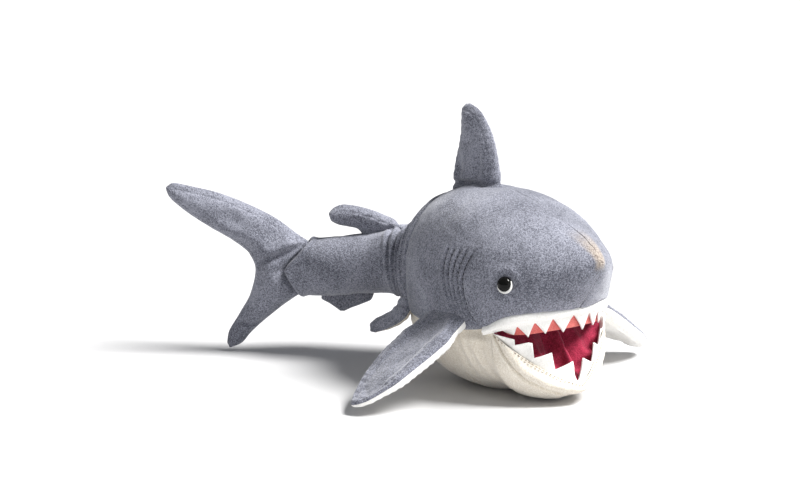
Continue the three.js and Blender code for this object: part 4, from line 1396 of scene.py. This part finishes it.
caudal = {
    "place": upright(CAUDAL_S, 0),
    "lead": [(-125, -64), (-121, -55), (-110, -44), (-92, -24), (-76, -5), (-64, 12), (-44, 18), (-22, 12),
             (-10, -2), (4, -20), (18, -46), (30, -76), (36, -104), (38, -114)],
    "trail": [(-125, -66), (-120, -68.5), (-113, -68), (-92, -58), (-70, -48), (-46, -44), (-32, -49),
              (-20, -62), (-4, -85), (14, -110), (26, -122), (33, -124), (38, -118)],
    "thick": [(-125, 3), (-112, 6), (-80, 10.5), (-46, 12.5), (-12, 12), (14, 9.5), (28, 6.5), (38, 3)],
    "closed_low": True, "rows": 150, "crown": 15.0, "lumps": 1.0,
    "creases": caudal_creases, "calm": caudal_calm,
}
x, y, angle = (float(value) for value in spine(np.array(CAUDAL_S)))
ahead = np.array([math.cos(angle), math.sin(angle), 0])
caudal_root = np.array([x, y, -45.0])
caudal["blend"] = [caudal_root - ahead * 2, caudal_root - ahead * 34]
sew_fin(caudal, ["caudal_velour_left", "caudal_velour_right"], [fin_grey] * 2, ["grey_velour"] * 2,
        [["caudal_panel_left", "caudal_wadding"], ["caudal_panel_right"]], 20)

# %% [markdown]
# The lock washers of the eyes stay inside the skins and are never seen in the finished toy. They still
# get their own finish, because somebody may open the model. The filling isn't shown: the padded skins
# stand for it.

# %% What stays inside
for skin, inside in ((panels["left"], "body_stuffing"), (panels["right"], "tail_stuffing")):
    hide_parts(inside)
for hand in ("left", "right"):
    washer = bpy.data.objects[f"eye_washer_{hand}"]
    washer.data.materials.clear()
    washer.data.materials.append(eye_pale)
print("padded skins:", ", ".join(skin.name for skin in (*panels.values(), belly, jaw, lip)))

# %% [markdown]
# The shark lies on a plain pale floor. A large soft lamp stands high on the right, a weaker one stands in
# front of the mouth, and the pale surroundings do the rest.

# %% Floor, light and camera
bpy.ops.mesh.primitive_plane_add(size=60, location=(0, 0, -0.0005))
floor_plane = bpy.context.object
floor_plane.name = "studio_floor"


def floor_finish(shader, where):
    """Pale matt paper, very faintly clouded."""
    tone = shader.mix(shader.noise(where, 3.0, 2.0), (0.57, 0.57, 0.58, 1), (0.61, 0.61, 0.61, 1))
    return {"Base Color": tone, "Roughness": 0.9}


floor_plane.data.materials.append(material("studio_floor", floor_finish))


def aimed(made, towards):
    """Turns a lamp in a direction and puts it in the scene."""
    made.rotation_euler = Vector(towards).to_track_quat("-Z", "Y").to_euler()
    bpy.context.scene.collection.objects.link(made)
    return made


sun = bpy.data.lights.new("key_light", "SUN")
sun.energy = 7.4
sun.angle = math.radians(24)
sun.color = (1.0, 0.99, 0.975)
aimed(bpy.data.objects.new("key_light", sun), (-0.54, -0.50, -1.0))
fill_lamp = bpy.data.lights.new("fill_light", "AREA")
fill_lamp.shape = "DISK"
fill_lamp.size = 1.2
fill_lamp.energy = 5.0
fill_lamp.color = (0.93, 0.96, 1.0)
filler = aimed(bpy.data.objects.new("fill_light", fill_lamp), (-1.0, -0.12, -0.22))
filler.location = (2.0, 0.25, 0.5)
world = bpy.data.worlds.new("studio")
world.use_nodes = True
background = world.node_tree.nodes["Background"]
background.inputs["Color"].default_value = (0.93, 0.95, 1.0, 1)
background.inputs["Strength"].default_value = 0.30
bpy.context.scene.world = world
bpy.context.scene.view_settings.view_transform = "Standard"

FROM_NOSE = np.array([1.04733, -1.03208, 0.29408])  # the camera's place, in metres from the nose
VIEW_DIRECTION = Vector((-0.77353, 0.60435, -0.19081))
camera_data = bpy.data.cameras.new("camera")
camera_data.lens = 80.8
camera_data.sensor_width = 36.0
camera = bpy.data.objects.new("camera", camera_data)
camera.location = NOSE * MM + FROM_NOSE
camera.rotation_euler = VIEW_DIRECTION.to_track_quat("-Z", "Y").to_euler()
bpy.context.scene.collection.objects.link(camera)
bpy.context.scene.camera = camera
print("camera", round((camera.location - Vector(NOSE * MM)).length, 2), "m from the nose")
